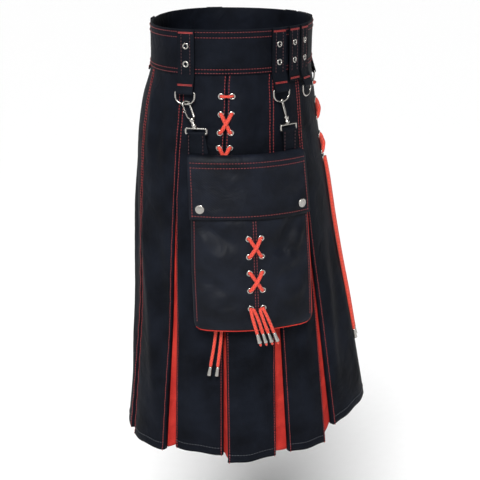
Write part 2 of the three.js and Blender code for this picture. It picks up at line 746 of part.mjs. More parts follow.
put("hook_rear", snapHook(LOOPS[0].s, STRAP_U[0], HOOK_TURN.rear), NICKEL);
put("hook_front", snapHook(LOOPS[1].s, STRAP_U[1], HOOK_TURN.front), NICKEL);
put("pocket_back", pocketBack(), CLOTH);
put("pocket_bag", pocketBag(), CLOTH);
put("pocket_flap", pocketFlap(), CLOTH);
put("snap_rear", snap(POCKET.half - SNAP.inset), NICKEL);
put("snap_front", snap(SNAP.inset - POCKET.half), NICKEL);

function putLacing(column, place, lace) {
  if (lace.bar) put(`${column}_bar`, laceBar(place, lace.bar), RED_CORD);
  lace.crosses.forEach((z, i) => put(`${column}_cross_${i + 1}`, crossing(place, z, CORD.pitch), RED_CORD));
}

putLacing("side_lace", onHip, SIDE_LACE);
SIDE_ENDS.forEach((route, i) => {
  put(`side_lace_end_${i + 1}`, laceEnd(route.map(([u, z, out]) => onHip(u, z, out)), 24), RED_CORD);
});
putLacing("front_lace", onApron, FRONT_LACE);
FRONT_ENDS.forEach((route, i) => {
  put(`front_lace_end_${i + 1}`, laceEnd(route.map(([u, z, out]) => onApron(u, z, out)), 22), RED_CORD);
});
putLacing("pocket_lace", onBag, POCKET_LACE);
POCKET_ENDS.forEach((route, i) => {
  put(`pocket_lace_end_${i + 1}`, laceEnd(route.map(([u, z, out]) => onBag(u, z, out)), 4), RED_CORD);
});

export default kilt;
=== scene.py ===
# %% [markdown]
# # A utility kilt, dressed over its frame
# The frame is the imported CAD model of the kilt: hard nodes that say where each piece of the real garment
# is. This lesson keeps their places and draws what the eye sees: cloth with creases, stitch rows, laces,
# eyelets and nickel fittings. Everything is in metres, +Z up, the wearer's front at -Y, the right at -X.

# %% Load the frame
import math
from collections import namedtuple

import bmesh
import bpy
import numpy as np
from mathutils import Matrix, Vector


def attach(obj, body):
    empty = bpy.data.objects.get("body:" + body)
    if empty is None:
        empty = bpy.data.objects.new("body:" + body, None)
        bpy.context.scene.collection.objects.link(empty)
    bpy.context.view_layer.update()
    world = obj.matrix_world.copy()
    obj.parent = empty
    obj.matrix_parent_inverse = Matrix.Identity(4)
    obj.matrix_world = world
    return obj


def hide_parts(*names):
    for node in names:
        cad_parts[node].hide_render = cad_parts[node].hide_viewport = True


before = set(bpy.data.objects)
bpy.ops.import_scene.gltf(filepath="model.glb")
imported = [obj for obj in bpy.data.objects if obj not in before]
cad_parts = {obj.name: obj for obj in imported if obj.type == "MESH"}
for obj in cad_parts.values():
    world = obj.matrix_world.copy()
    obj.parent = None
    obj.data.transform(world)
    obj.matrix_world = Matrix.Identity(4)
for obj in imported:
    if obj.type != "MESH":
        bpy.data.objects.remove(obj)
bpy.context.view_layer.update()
BODY = "kilt"
MM = 0.001
print("nodes in the frame:", len(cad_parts))

# %% Helpers that put a piece in the scene and hand it to the frame


def put_in_scene(name, data):
    """A new object at the origin, unturned, in the scene's collection."""
    piece = bpy.data.objects.new(name, data)
    bpy.context.scene.collection.objects.link(piece)
    return piece


def stand_in(piece, node=None, body=BODY):
    """Makes a piece ride on a body, and hides the solid that it stands for, if any."""
    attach(piece, body)
    if node:
        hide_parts(node)


print("pieces ride on the", BODY)

# %% [markdown]
# ## Camera first
# The photograph looks at the wearer's right side from a little above and a little to the front. A long
# lens from 1.8 m away gives the same narrow perspective, so the far rim of the waist just shows.

# %% Camera
FRAME_PX, SENSOR_MM = 480, 36
CAMERA = {"away": 1800, "high": 220, "yaw": 6.0, "pitch": 16.18, "focal_px": 1241.1, "aside": 10.0}


def place_camera(spec):
    yaw, pitch = math.radians(spec["yaw"]), math.radians(spec["pitch"])
    deep = Vector((math.cos(yaw), math.sin(yaw), 0))
    right = Vector((math.sin(yaw), -math.cos(yaw), 0))
    camera = put_in_scene("camera", bpy.data.cameras.new("camera"))
    camera.data.sensor_width = SENSOR_MM
    camera.data.lens = spec["focal_px"] / FRAME_PX * SENSOR_MM
    camera.location = (right * spec["aside"] - deep * spec["away"]) * MM
    camera.location.z = spec["high"] * MM
    ahead = deep * math.cos(pitch) + Vector((0, 0, -math.sin(pitch)))
    camera.rotation_euler = ahead.to_track_quat("-Z", "Y").to_euler()
    bpy.context.scene.camera = camera
    return camera.data.lens


print("lens", round(place_camera(CAMERA), 1), "mm")

# %% [markdown]
# ## The worn form
# A kilt on a figure is a tube whose plan changes with height: an oval at the waist, fuller at the hips,
# and flared at the hem, most to the front. One short table of sections holds it, and every piece of cloth
# is placed by its arc length round that tube, its height, and how far it lies out of it.

# %% Sections of the skirt in millimetres
RIM, SEAM, OPENING, HEM = 30, -30, -200, -575
SECTIONS = np.array([  # height, half width, front, back, widest place, roundness ahead and behind
    (30, 152, 113, 113, 20, 2.25, 2.4),
    (-30, 153, 112, 114, 20, 2.25, 2.4),
    (-75, 157, 118, 127, 16, 2.2, 2.4),
    (-130, 162, 125, 136, 10, 2.1, 2.4),
    (-200, 166, 138, 139, 4, 2.0, 2.4),
    (-290, 170, 153, 140, -3, 1.9, 2.4),
    (-375, 173, 170, 141, -8, 1.8, 2.4),
    (-455, 176, 185, 146, -11, 1.72, 2.5),
    (-575, 181, 206, 157, -14, 1.65, 2.6),
], float)


def section_at(z):
    """The section at a height, on a smooth curve through the rows of the table."""
    z = min(max(z, HEM), RIM)
    i = 0
    while i < len(SECTIONS) - 2 and z < SECTIONS[i + 1, 0]:
        i += 1
    a, b = SECTIONS[i], SECTIONS[i + 1]
    before, after = SECTIONS[max(0, i - 1)], SECTIONS[min(len(SECTIONS) - 1, i + 2)]
    span = b[0] - a[0]
    t = (z - a[0]) / span
    slope_a = (b - before) / (b[0] - before[0]) * span
    slope_b = (after - a) / (after[0] - a[0]) * span
    return ((2 * t**3 - 3 * t**2 + 1) * a + (t**3 - 2 * t**2 + t) * slope_a
            + (3 * t**2 - 2 * t**3) * b + (t**3 - t**2) * slope_b)[1:]


def half_section(z, steps=180):
    """The plan from the centre front to the centre back on the right, and its running length."""
    half, front, back, mid, fore, rear = section_at(z)
    turn = np.linspace(0, math.pi, steps + 1)
    across, along = np.sin(turn).clip(0), np.cos(turn)
    ahead = along >= 0
    power = np.where(ahead, 2 / fore, 2 / rear)
    x = -half * across**power
    x[[0, -1]] = 0
    y = mid + np.where(ahead, -(front + mid), back - mid) * np.abs(along) ** power
    run = np.concatenate([[0], np.cumsum(np.hypot(np.diff(x), np.diff(y)))])
    return x, y, run


for place, z in (("waist", SEAM), ("hem", HEM)):
    print(place, "round:", round(2 * half_section(z)[2][-1]), "mm")

# %% Points on the form
STEP = 2.0
HEIGHTS = np.arange(HEM - 31, RIM + 8, STEP)
ARCS = np.arange(0, 700, STEP)


def form_tables():
    """Plan points by height and arc length. Past the centre back the arc goes on round the left side."""
    xs, ys, totals = [], [], []
    for z in HEIGHTS:
        x, y, run = half_section(z)
        total = run[-1]
        fold = np.where(ARCS > total, 2 * total - ARCS, ARCS)
        side = np.where(ARCS > total, -1, 1)
        xs.append(side * np.interp(fold, run, x))
        ys.append(np.interp(fold, run, y))
        totals.append(total)
    return np.array(xs), np.array(ys), np.array(totals)


FORM_X, FORM_Y, FORM_HALF = form_tables()
TABLE_END = 1.001  # keeps a place just inside the last entry of a table


def half_length(z):
    return np.interp(z, HEIGHTS, FORM_HALF)


def plan(s, z):
    """Where arc length s and height z lie in plan, read between the tables' entries."""
    s, z = np.broadcast_arrays(np.asarray(s, float), np.asarray(z, float))
    side = np.where(s < 0, -1.0, 1.0)
    j = np.clip(np.abs(s) / STEP, 0, len(ARCS) - TABLE_END)
    i = np.clip((z - HEIGHTS[0]) / STEP, 0, len(HEIGHTS) - TABLE_END)
    j0, i0 = j.astype(int), i.astype(int)
    fj, fi = j - j0, i - i0

    def mix(table):
        low = table[i0, j0] * (1 - fj) + table[i0, j0 + 1] * fj
        high = table[i0 + 1, j0] * (1 - fj) + table[i0 + 1, j0 + 1] * fj
        return low * (1 - fi) + high * fi

    return side * mix(FORM_X), mix(FORM_Y)


def outward(s, z, reach=4.0):
    ax, ay = plan(np.asarray(s) - reach, z)
    bx, by = plan(np.asarray(s) + reach, z)
    long = np.hypot(bx - ax, by - ay)
    return -(by - ay) / long, (bx - ax) / long


def on_form(s, z, out):
    """Points at arc length s and height z that stand out of the form."""
    x, y = plan(s, z)
    nx, ny = outward(s, z)
    s, z, out = np.broadcast_arrays(*(np.asarray(v, float) for v in (s, z, out)))
    return np.stack([x + nx * out, y + ny * out, z], axis=-1)


print("form tables:", FORM_X.shape)

# %% [markdown]
# ## Creases
# Real twill never hangs as a clean cone. It is pulled at the stitched hip, sags a little between the
# pleats and breaks near the hem. Each crease is one row of a table, placed from the photograph:
# a line on the cloth, how wide it is and how deep. A soft bell across the line and a taper at its ends
# make it a trough or a ridge. The hidden side has similar ones of its own.

# %% Crease tables
CREASES_RIGHT = [  # start arc and height, end arc and height, width, depth (a ridge is positive)
    (300, -60, 335, -175, 9, -1.8), (322, -50, 350, -150, 8, 1.6), (268, -60, 300, -135, 8, -1.4),
    (300, -190, 322, -420, 11, 1.8), (345, -215, 352, -480, 12, -2.2), (378, -180, 392, -540, 13, 2.4),
    (420, -80, 438, -330, 13, -2.2), (455, -150, 470, -520, 15, 2.6), (500, -260, 520, -560, 14, -2.4),
    (282, -300, 296, -540, 10, -1.9), (312, -380, 330, -560, 9, 1.8), (236, -420, 232, -560, 11, -2.0),
    (252, -400, 262, -545, 8, 1.4), (200, -420, 214, -560, 11, -1.7), (150, -360, 158, -540, 10, -1.8),
    (128, -240, 138, -430, 10, 1.6), (178, -400, 186, -530, 8, 1.3), (60, -150, 90, -60, 11, -1.2),
    (40, -250, 62, -470, 14, -2.0), (74, -300, 88, -520, 11, 1.9), (20, -330, 26, -540, 13, 1.4),
    (150, -60, 172, -120, 8, -1.2), (180, -50, 206, -110, 8, 1.0), (230, -60, 262, -130, 8, 1.1),
]
CREASES_LEFT = [
    (290, -60, 330, -165, 9, -1.7), (335, -55, 352, -160, 9, 1.5), (262, -65, 296, -140, 8, -1.3),
    (306, -200, 318, -430, 12, 1.7), (352, -230, 346, -470, 12, -2.1), (384, -190, 398, -530, 13, 2.3),
    (428, -90, 440, -340, 14, -2.1), (462, -170, 474, -530, 15, 2.4), (508, -280, 516, -550, 13, -2.2),
    (276, -310, 290, -550, 11, -1.8), (318, -370, 326, -550, 9, 1.7), (230, -300, 238, -550, 12, -1.9),
    (206, -240, 216, -450, 11, 1.6), (192, -430, 200, -560, 10, -1.6), (146, -340, 160, -540, 11, -1.8),
    (126, -230, 134, -440, 10, 1.5), (70, -140, 96, -60, 11, -1.1), (46, -260, 58, -480, 13, -1.8),
    (80, -310, 90, -520, 11, 1.7), (160, -60, 178, -120, 8, -1.1), (236, -60, 258, -128, 8, 1.1),
]


CREASE_GAIN = 1.7
TAPER_RATE, TAPER_END = 3.2, 0.12
WANDER_MM, WANDER_TURNS = 3.0, 5.0
SIDE_BLEND = 16  # mm over which the right side's creases give way to the left's


def crease(s, z, rows):
    """How far the rows' creases move the cloth in or out at each place."""
    total = np.zeros(np.broadcast(s, z).shape)
    for s0, z0, s1, z1, wide, deep in rows:
        run = np.array([s1 - s0, z1 - z0], float)
        long = np.hypot(*run)
        run /= long
        along = ((s - s0) * run[0] + (z - z0) * run[1]) / long
        aside = (s - s0) * run[1] - (z - z0) * run[0]
        taper = np.clip(np.minimum(along, 1 - along) * TAPER_RATE + TAPER_END, 0, 1)
        taper = taper * taper * (3 - 2 * taper)
        wander = WANDER_MM * np.sin(along * WANDER_TURNS + s0)
        total += deep * taper * np.exp(-(((aside + wander) / wide) ** 2))
    return total


def drape(s, z):
    right = crease(np.abs(s), z, CREASES_RIGHT)
    left = crease(np.abs(s), z, CREASES_LEFT)
    share = np.clip(0.5 + np.asarray(s) / SIDE_BLEND, 0, 1)
    return CREASE_GAIN * (right * share + left * (1 - share))


print("creases:", len(CREASES_RIGHT), "right,", len(CREASES_LEFT), "left")

# %% [markdown]
# ## Node helpers and colour
# Colours are written as they look on screen, in sRGB hex, and one function makes them linear. Another
# adds a node with its settings and links, and every material below is built with it.

# %% Helpers for materials


def linear(code):
    def channel(v):
        return v / 12.92 if v <= 0.04045 else ((v + 0.055) / 1.055) ** 2.4
    return tuple(channel(int(code[i:i + 2], 16) / 255) for i in (1, 3, 5)) + (1.0,)


def add(tree, kind, settings=(), **links):
    """A node with its settings, by name or by socket number, and its links."""
    node = tree.nodes.new(kind)
    for name, value in dict(settings).items():
        if isinstance(name, int) or name in node.inputs:
            node.inputs[name].default_value = value
        else:
            setattr(node, name, value)
    for name, source in links.items():
        key = int(name[1:]) if name[1:].isdigit() else name.replace("_", " ")
        tree.links.new(source, node.inputs[key])
    return node


def new_material(name):
    material = bpy.data.materials.new(name)
    material.use_nodes = True
    material.node_tree.nodes.clear()
    return material, material.node_tree


def finish_material(tree, settings, **links):
    shader = add(tree, "ShaderNodeBsdfPrincipled", settings, **links)
    add(tree, "ShaderNodeOutputMaterial", Surface=shader.outputs[0])


print("black twill is", [round(c, 4) for c in linear("#181b24")[:3]])

# %% [markdown]
# ## Cotton twill
# Twill is woven so that each thread steps one aside in every row, which shows as fine diagonal ribs. The
# real ribs are about half a millimetre apart. That is finer than the render can hold, so they are drawn
# at 2.6 mm. Over them lie slubs, a faint washed unevenness and soft crumples. The dark dye leaves cotton
# matt, so its gloss is low. The pattern reads the piece's own UV map, in metres of cloth, so it never slides.

# %% Twill material


def wave_scale(pitch_mm):
    """A wave texture at scale 1 repeats twenty times in two pi of its coordinate."""
    return 2 * math.pi / 20 / (pitch_mm * MM)


RIB_MM, TWILL_ANGLE = 2.6, 52


def twill(name, dark, light, worn, rough, gloss, sheen=0.0, crumple_mm=2.2):
    material, tree = new_material(name)
    uv = add(tree, "ShaderNodeUVMap", {"uv_map": "cloth"}).outputs[0]
    turn = add(tree, "ShaderNodeMapping", {"Rotation": (0, 0, math.radians(TWILL_ANGLE))}, Vector=uv)
    rib = add(tree, "ShaderNodeTexWave", {"Scale": wave_scale(RIB_MM), "Distortion": 0.6, "Detail": 1.0},
              Vector=turn.outputs[0])
    slub = add(tree, "ShaderNodeTexNoise", {"Scale": 420.0, "Detail": 3.0}, Vector=uv)
    wash = add(tree, "ShaderNodeTexNoise", {"Scale": 16.0, "Detail": 4.0, "Roughness": 0.6}, Vector=uv)
    fade = add(tree, "ShaderNodeMapRange", {"From Min": 0.35, "From Max": 0.75, "To Max": worn},
               Value=wash.outputs[0])
    tint = add(tree, "ShaderNodeMix", {"data_type": "RGBA", 6: linear(dark), 7: linear(light)},
               i0=fade.outputs[0])
    thread = add(tree, "ShaderNodeMath", {"operation": "MULTIPLY_ADD", 1: 0.55},
                 i0=rib.outputs[1], i2=slub.outputs[0])
    spread = {"From Min": 0.3, "From Max": 1.2, "To Min": 0.78, "To Max": 1.16}
    shade = add(tree, "ShaderNodeMapRange", spread, Value=thread.outputs[0])
    colour = add(tree, "ShaderNodeVectorMath", {"operation": "SCALE"}, i0=tint.outputs[2],
                 Scale=shade.outputs[0])
    crumple = add(tree, "ShaderNodeTexNoise", {"Scale": 38.0, "Detail": 3.0, "Distortion": 0.8}, Vector=uv)
    soft = add(tree, "ShaderNodeBump", {"Strength": 1.0, "Distance": crumple_mm * MM},
               Height=crumple.outputs[0])
    bump = add(tree, "ShaderNodeBump", {"Strength": 0.35, "Distance": 0.0004}, Height=thread.outputs[0],
               Normal=soft.outputs[0])
    finish_material(tree, {"Roughness": rough, "Sheen Weight": sheen, "Sheen Roughness": 0.35,
                           "Sheen Tint": linear(light), "IOR": 1.5, "Specular IOR Level": gloss},
                    Base_Color=colour.outputs[0], Normal=bump.outputs[0])
    return material


black_twill = twill("black cotton twill", "#090b10", "#171b24", worn=0.8, rough=0.62, gloss=0.04)
strap_twill = twill("black twill strap", "#090b10", "#161a22", worn=0.7, rough=0.62, gloss=0.04)
pocket_twill = twill("black pocket twill", "#090b10", "#181c26", worn=0.9, rough=0.52, gloss=0.1)
red_twill = twill("red cotton twill", "#98201b", "#c63a2f", worn=0.9, rough=0.85, gloss=0.2, sheen=0.03,
                  crumple_mm=4.5)
print("cloth materials:", len(bpy.data.materials))

# %% [markdown]
# ## Laces, thread and nickel
# The laces are a soft woven tube of bright orange-red yarn, so their braid runs both ways round them. The
# stitching is a thick red topstitch thread with a slight gloss. The fittings are nickel plate over
# pressed or bent steel: a warm grey mirror with fine handling marks.

# %% Lace, thread and metal materials


BRAID_MM, BRAID_ANGLE = 3.2, 38


def woven_lace():
    material, tree = new_material("woven red lace")
    uv = add(tree, "ShaderNodeUVMap", {"uv_map": "cloth"}).outputs[0]
    waves = []
    for angle in (BRAID_ANGLE, -BRAID_ANGLE):
        turn = add(tree, "ShaderNodeMapping", {"Rotation": (0, 0, math.radians(angle))}, Vector=uv)
        waves.append(add(tree, "ShaderNodeTexWave", {"Scale": wave_scale(BRAID_MM), "Distortion": 0.2},
                         Vector=turn.outputs[0]))
    braid = add(tree, "ShaderNodeMath", {"operation": "MAXIMUM"},
                i0=waves[0].outputs[1], i1=waves[1].outputs[1]).outputs[0]
    fuzz = add(tree, "ShaderNodeTexNoise", {"Scale": 900.0, "Detail": 2.0}, Vector=uv)
    tint = add(tree, "ShaderNodeMix", {"data_type": "RGBA", 6: linear("#981f12"), 7: linear("#cf3d28")},
               i0=braid)
    high = add(tree, "ShaderNodeMath", {"operation": "ADD"}, i0=braid, i1=fuzz.outputs[0])
    bump = add(tree, "ShaderNodeBump", {"Strength": 0.5, "Distance": 0.0004}, Height=high.outputs[0])
    finish_material(tree, {"Roughness": 0.75, "Sheen Weight": 0.15, "IOR": 1.5},
                    Base_Color=tint.outputs[2], Normal=bump.outputs[0])
    return material


def thread_material(name, dark, light):
    material, tree = new_material(name)
    place = add(tree, "ShaderNodeTexCoord").outputs["Object"]
    tone = add(tree, "ShaderNodeTexNoise", {"Scale": 160.0, "Detail": 2.0}, Vector=place)
    tint = add(tree, "ShaderNodeMix", {"data_type": "RGBA", 6: linear(dark), 7: linear(light)},
               i0=tone.outputs[0])
    finish_material(tree, {"Roughness": 0.5, "IOR": 1.5}, Base_Color=tint.outputs[2])
    return material


def nickel_material():
    material, tree = new_material("bright nickel plate")
    place = add(tree, "ShaderNodeTexCoord").outputs["Object"]
    marks = add(tree, "ShaderNodeTexNoise", {"Scale": 700.0, "Detail": 4.0}, Vector=place)
    dull = add(tree, "ShaderNodeTexNoise", {"Scale": 60.0, "Detail": 3.0}, Vector=place).outputs[0]
    spread = {"From Min": 0.3, "From Max": 0.7, "To Min": 0.14, "To Max": 0.34}
    rough = add(tree, "ShaderNodeMapRange", spread, Value=dull)
    tint = add(tree, "ShaderNodeMix", {"data_type": "RGBA", 6: linear("#8a8783"), 7: linear("#c2bfb9")},
               i0=dull)
    bump = add(tree, "ShaderNodeBump", {"Strength": 0.08, "Distance": 0.0002}, Height=marks.outputs[0])
    finish_material(tree, {"Metallic": 1.0}, Base_Color=tint.outputs[2], Roughness=rough.outputs[0],
                    Normal=bump.outputs[0])
    return material


red_lace = woven_lace()
red_thread = thread_material("red topstitch thread", "#6a1a1c", "#a52e2c")
dull_thread = thread_material("dull red hemming thread", "#4a1619", "#82282a")
dark_thread = thread_material("dark maroon strap thread", "#261016", "#481d23")
hem_thread = thread_material("dark grey hemming thread", "#1e2025", "#4a4d54")
nickel = nickel_material()
print("materials:", len(bpy.data.materials))

# %% [markdown]
# ## Studio
# A plain pale floor a wearer's height below and a world that is bright at the horizon and dim above, so
# that black cloth stays black. One broad soft sun stands high on the camera's side. Two weak soft panels
# lift the rear of the skirt and the inside of the waist.

# %% Floor, world and lights
FLOOR_Z, FLOOR_SIZE = -1.05, 60
DOME = {"From Min": 0.04, "From Max": 0.3, "To Min": 1.0, "To Max": 0.14}  # strength by height of the view


def studio():
    bpy.ops.mesh.primitive_plane_add(size=FLOOR_SIZE, location=(0, 0, FLOOR_Z))
    floor = bpy.context.object
    floor.name = "floor"
    material, tree = new_material("pale studio floor")
    place = add(tree, "ShaderNodeTexCoord").outputs["Object"]
    grain = add(tree, "ShaderNodeTexNoise", {"Scale": 40.0}, Vector=place)
    tone = add(tree, "ShaderNodeMix", {"data_type": "RGBA", 6: linear("#fbfbfb"), 7: linear("#ffffff")},
               i0=grain.outputs[0])
    finish_material(tree, {"Roughness": 0.9}, Base_Color=tone.outputs[2])
    floor.data.materials.append(material)
    world = bpy.data.worlds.new("studio")
    bpy.context.scene.world = world
    world.use_nodes = True
    tree = world.node_tree
    view = add(tree, "ShaderNodeTexCoord").outputs["Generated"]
    height = add(tree, "ShaderNodeSeparateXYZ", i0=view).outputs[2]
    dome = add(tree, "ShaderNodeMapRange", DOME, Value=height)
    tree.links.new(dome.outputs[0], tree.nodes["Background"].inputs[1])
    tree.nodes["Background"].inputs[0].default_value = linear("#ffffff")
    bpy.context.scene.view_settings.view_transform = "Standard"


def soft_light(name, place, aim, size, power):
    light = put_in_scene(name, bpy.data.lights.new(name, "AREA"))
    light.data.size = size
    light.data.energy = power
    light.location = place
    light.rotation_euler = (Vector(aim) - Vector(place)).to_track_quat("-Z", "Y").to_euler()


def sky_light(name, elevation, strength, softness):
    light = put_in_scene(name, bpy.data.lights.new(name, "SUN"))
    light.data.energy = strength
    light.data.angle = math.radians(softness)
    light.rotation_euler = (0, -math.radians(90 - elevation), 0)


studio()
soft_light("left", (-1.3, 1.6, 0.9), (0, 0, -0.25), size=0.5, power=6)
soft_light("inside", (1.4, 0.6, 1.5), (0, 0, -0.2), size=1.0, power=8)
sky_light("overhead panel", elevation=42, strength=4.1, softness=24)
print("lights:", len(bpy.data.lights))

# %% [markdown]
# ## Sheets of cloth
# A grid of points becomes a mesh, with a UV map in metres along the cloth. Solidify then gives the sheet
# its thickness toward the body. Where a piece has folded edges the grid simply runs round them.

# %% Grid and sheet helpers


def run_along(points):
    """The running length along a line of points."""
    return np.concatenate([[0], np.cumsum(np.linalg.norm(np.diff(points, axis=0), axis=1))])


def grid_mesh(name, points, material, uv=None, closed=False):
    """A mesh from rows of points. A closed one runs on from each row's last point to its first."""
    rows, cols = points.shape[:2]
    faces = []
    for r in range(rows - 1):
        for c in range(cols if closed else cols - 1):
            d = (c + 1) % cols
            faces.append((r * cols + c, (r + 1) * cols + c, (r + 1) * cols + d, r * cols + d))
    mesh = bpy.data.meshes.new(name)
    mesh.from_pydata((points.reshape(-1, 3) * MM).tolist(), [], faces)
    if uv is None:
        uv = np.stack(np.meshgrid(run_along(points[rows // 2]), -run_along(points[:, cols // 2])), axis=-1)
    layer = mesh.uv_layers.new(name="cloth")
    flat = uv.reshape(-1, 2) * MM
    for loop in mesh.loops:
        layer.data[loop.index].uv = flat[loop.vertex_index]
    mesh.materials.append(material)
    mesh.shade_smooth()
    return put_in_scene(name, mesh)


def close_piece(piece, caps=True, merge=1e-6):
    """Merges points that coincide, closes open ends if asked, and turns the faces outward."""
    work = bmesh.new()
    work.from_mesh(piece.data)
    bmesh.ops.remove_doubles(work, verts=work.verts, dist=merge)
    if caps:
        bmesh.ops.holes_fill(work, edges=[e for e in work.edges if e.is_boundary])
    bmesh.ops.recalc_face_normals(work, faces=work.faces)
    work.to_mesh(piece.data)
    work.free()


def cloth_piece(name, points, material, thick, node=None):
    """A hung sheet from its outer points: it faces away from the wearer and is thickened inward."""
    rows, cols = points.shape[:2]
    piece = grid_mesh(name, points, material)
    face = piece.data.polygons[rows // 2 * (cols - 1) + cols // 2]
    if face.normal.dot(Vector((face.center.x, face.center.y, 0))) < 0:
        piece.data.flip_normals()
    wall = piece.modifiers.new("thickness", "SOLIDIFY")
    wall.thickness = thick * MM
    wall.offset = -1.0
    stand_in(piece, node)
    wide = np.linalg.norm(np.diff(points, axis=1), axis=-1).sum(axis=1).max() * MM
    long = np.linalg.norm(np.diff(points, axis=0), axis=-1).sum(axis=0).max() * MM
    return f"{name} is cut {wide * 1000:.0f} by {long * 1000:.0f} mm"


SIDES = ((1, "r"), (-1, "l"))
print("sheet helpers ready")

# %% [markdown]
# ## The cut
# The apron and five gores a side come from one table: widths at the waist, the hip and the hem, and how
# far each hem corner is lifted or stands out. Below the hip the gores part and show the red insets.

# %% Cut of the skirt
RETURN, FOLD_TOP, FOLD_HEM = 12, 4.2, 9
GAP_TOP = 0.6
HEM_GAPS = (20, 20, 7, 20, 20)
BACK_GAP = 20
APRON = {"waist": 84, "hip": 99, "hem": 106, "edge_lift": 20, "mid_lift": 33}
Gore = namedtuple("Gore", "waist hip hem lift_fore lift_rear out_fore out_rear")
GORES = [Gore(52, 63, 66, 0, 0, 0, 0), Gore(62, 71, 71, 0, -4, 0, 8), Gore(60, 67, 70, 2, 9, -5, 0),
         Gore(72, 78, 78, 0, 0, 0, 0), Gore(0, 0, 0, 0, 0, 0, 0)]  # the last takes what is left


def below(z):
    """0 at the waist seam, 1 at the hem."""
    return np.clip((SEAM - z) / (SEAM - HEM), 0, 1)


def opened(z):
    """0 down to where the pleats open, 1 at the hem."""
    return np.clip((OPENING - z) / (OPENING - HEM), 0, 1)


def fold_depth(z):
    return FOLD_TOP + (FOLD_HEM - FOLD_TOP) * opened(z)


def cut_width(waist, hip, hem, z):
    to_hip = np.clip((SEAM - z) / (SEAM - OPENING), 0, 1)
    return waist + (hip - waist) * to_hip + (hem - hip) * opened(z)


def apron_half(z):
    return cut_width(APRON["waist"], APRON["hip"], APRON["hem"], z)


def gore_edges(z):
    """Where each gore of a side starts and ends at a height, from the apron to the centre back."""
    edges, s = [], apron_half(z)
    for gore, gap in zip(GORES, HEM_GAPS):
        fore = s + GAP_TOP + gap * opened(z)
        s = fore + cut_width(*gore[:3], z)
        edges.append((fore, s))
    edges[-1] = (fore, half_length(z) - (GAP_TOP + BACK_GAP * opened(z)) / 2)
    return edges


print("gores at the hem:", [round(float(b - a)) for a, b in gore_edges(HEM)])

# %% [markdown]
# ## Gores
# On the real kilt each black gore is one strip of twill whose edges turn under and run back behind it to
# the red inset. So the sheet's path goes return, fold, face, fold, return, and it is thickened inward.
# The face bellies out a little between its stitched edges, and the creases are added to it.

# %% Gore builder
CLOTH_THICK = 1.4
FACE_EDGE = 2.6  # mm from a gore's edge, where the rolled fold ends and the face starts
BELLY = 2.2
HEM_WAVE = {"height": 0.8, "length": 7.3, "fade": 14}  # how unevenly the hem is turned up
PUCKER = {"height": 0.42, "length": 2.1, "in": 5.0, "wide": 5.0}  # the thread's pull beside an edge
FOLD_LIMIT = -0.5  # what lies further back than this is fold, not face
CREASE_EDGE = 9  # mm over which the creases die out toward an edge


def fold_profile(depth):
    """A turned-under edge: how far in from the edge, and how far out of the form."""
    return np.array([(RETURN, -depth), (4, -depth), (1.4, -depth), (0.4, 0.5 - depth), (0, 1.6 - depth),
                     (0, -1.7), (0.35, -0.6), (1.3, -0.08)])


def gore_points(span, shape, samples, side):
    """The grid of one gore, level by level: return, fold, face, fold, return."""
    rows = []
    for level in LEVELS:
        fore, rear = span(level)
        t = below(level)
        inward, back = fold_profile(fold_depth(level)).T
        face = np.linspace(fore + FACE_EDGE, rear - FACE_EDGE, samples + 1)
        s = np.concatenate([fore + inward, face, rear - inward[::-1]])
        out = np.concatenate([back, 0 * face, back[::-1]])
        part = np.concatenate([0 * inward, (face - fore) / (rear - fore), 0 * inward + 1])
        lift, reach = shape(part)
        wave = HEM_WAVE["height"] * np.sin(s / HEM_WAVE["length"] + side) * t ** HEM_WAVE["fade"]
        z = level + lift * t * t + wave
        shown = (out > FOLD_LIMIT).astype(float)
        near = np.minimum(s - fore, rear - s)
        belly = BELLY * opened(level) * np.sin(np.pi * part)
        pucker = PUCKER["height"] * np.sin(z / PUCKER["length"] + side * fore)
        pucker *= np.exp(-((near - PUCKER["in"]) / PUCKER["wide"]) ** 2)
        relief = belly + drape(side * s, z) * np.clip(near / CREASE_EDGE, 0, 1) + pucker
        rows.append(on_form(s, z, out + reach * t * t + relief * shown))
    return np.array(rows)


def gore_shape(gore):
    return lambda part: (gore.lift_fore + (gore.lift_rear - gore.lift_fore) * part,
                         gore.out_fore + (gore.out_rear - gore.out_fore) * part)


LEVELS = np.concatenate([[SEAM + 1.2], np.linspace(SEAM - 0.6, OPENING, 33),
                         np.linspace(OPENING - 5, HEM, 74)])
gores = {}
for side, mark in SIDES:
    for i, gore in enumerate(GORES):
        points = gore_points(lambda z: gore_edges(z)[i], gore_shape(gore), 20, side) * [side, 1, 1]
        gores[mark, i] = points
        cut = cloth_piece(f"gore_{mark}{i + 1}", points, black_twill, CLOTH_THICK,
                          node=f"panel_{mark}{i + 1}")
print("gores:", len(gores), "and", cut)

# %% [markdown]
# ## Apron
# The front apron is the widest strip. Its hem rides up toward the middle, where the cloth is pushed
# forward, and its side edges turn under like the gores'.

# %% Apron


def apron_shape(part):
    lift = APRON["edge_lift"] + (APRON["mid_lift"] - APRON["edge_lift"]) * np.sin(np.pi * part)
    return lift, np.zeros_like(part)


apron_points = gore_points(lambda z: (-apron_half(z), apron_half(z)), apron_shape, 64, 1)
print(cloth_piece("apron", apron_points, black_twill, CLOTH_THICK, node="front_apron"))

# %% [markdown]
# ## Red insets
# The insets are the hidden middle of each box pleat. Only the strip in the gap is seen, a few millimetres
# back, so each is a plain sheet that buckles softly, tucked behind the returns of its two neighbours.

# %% Insets
INSET = {"behind": 0.6, "thick": 1.2, "across": 15}
INSET_LEVELS = np.linspace(OPENING + 25, HEM + 1, 70)
BACK = len(GORES)  # the number of the inset at the centre back


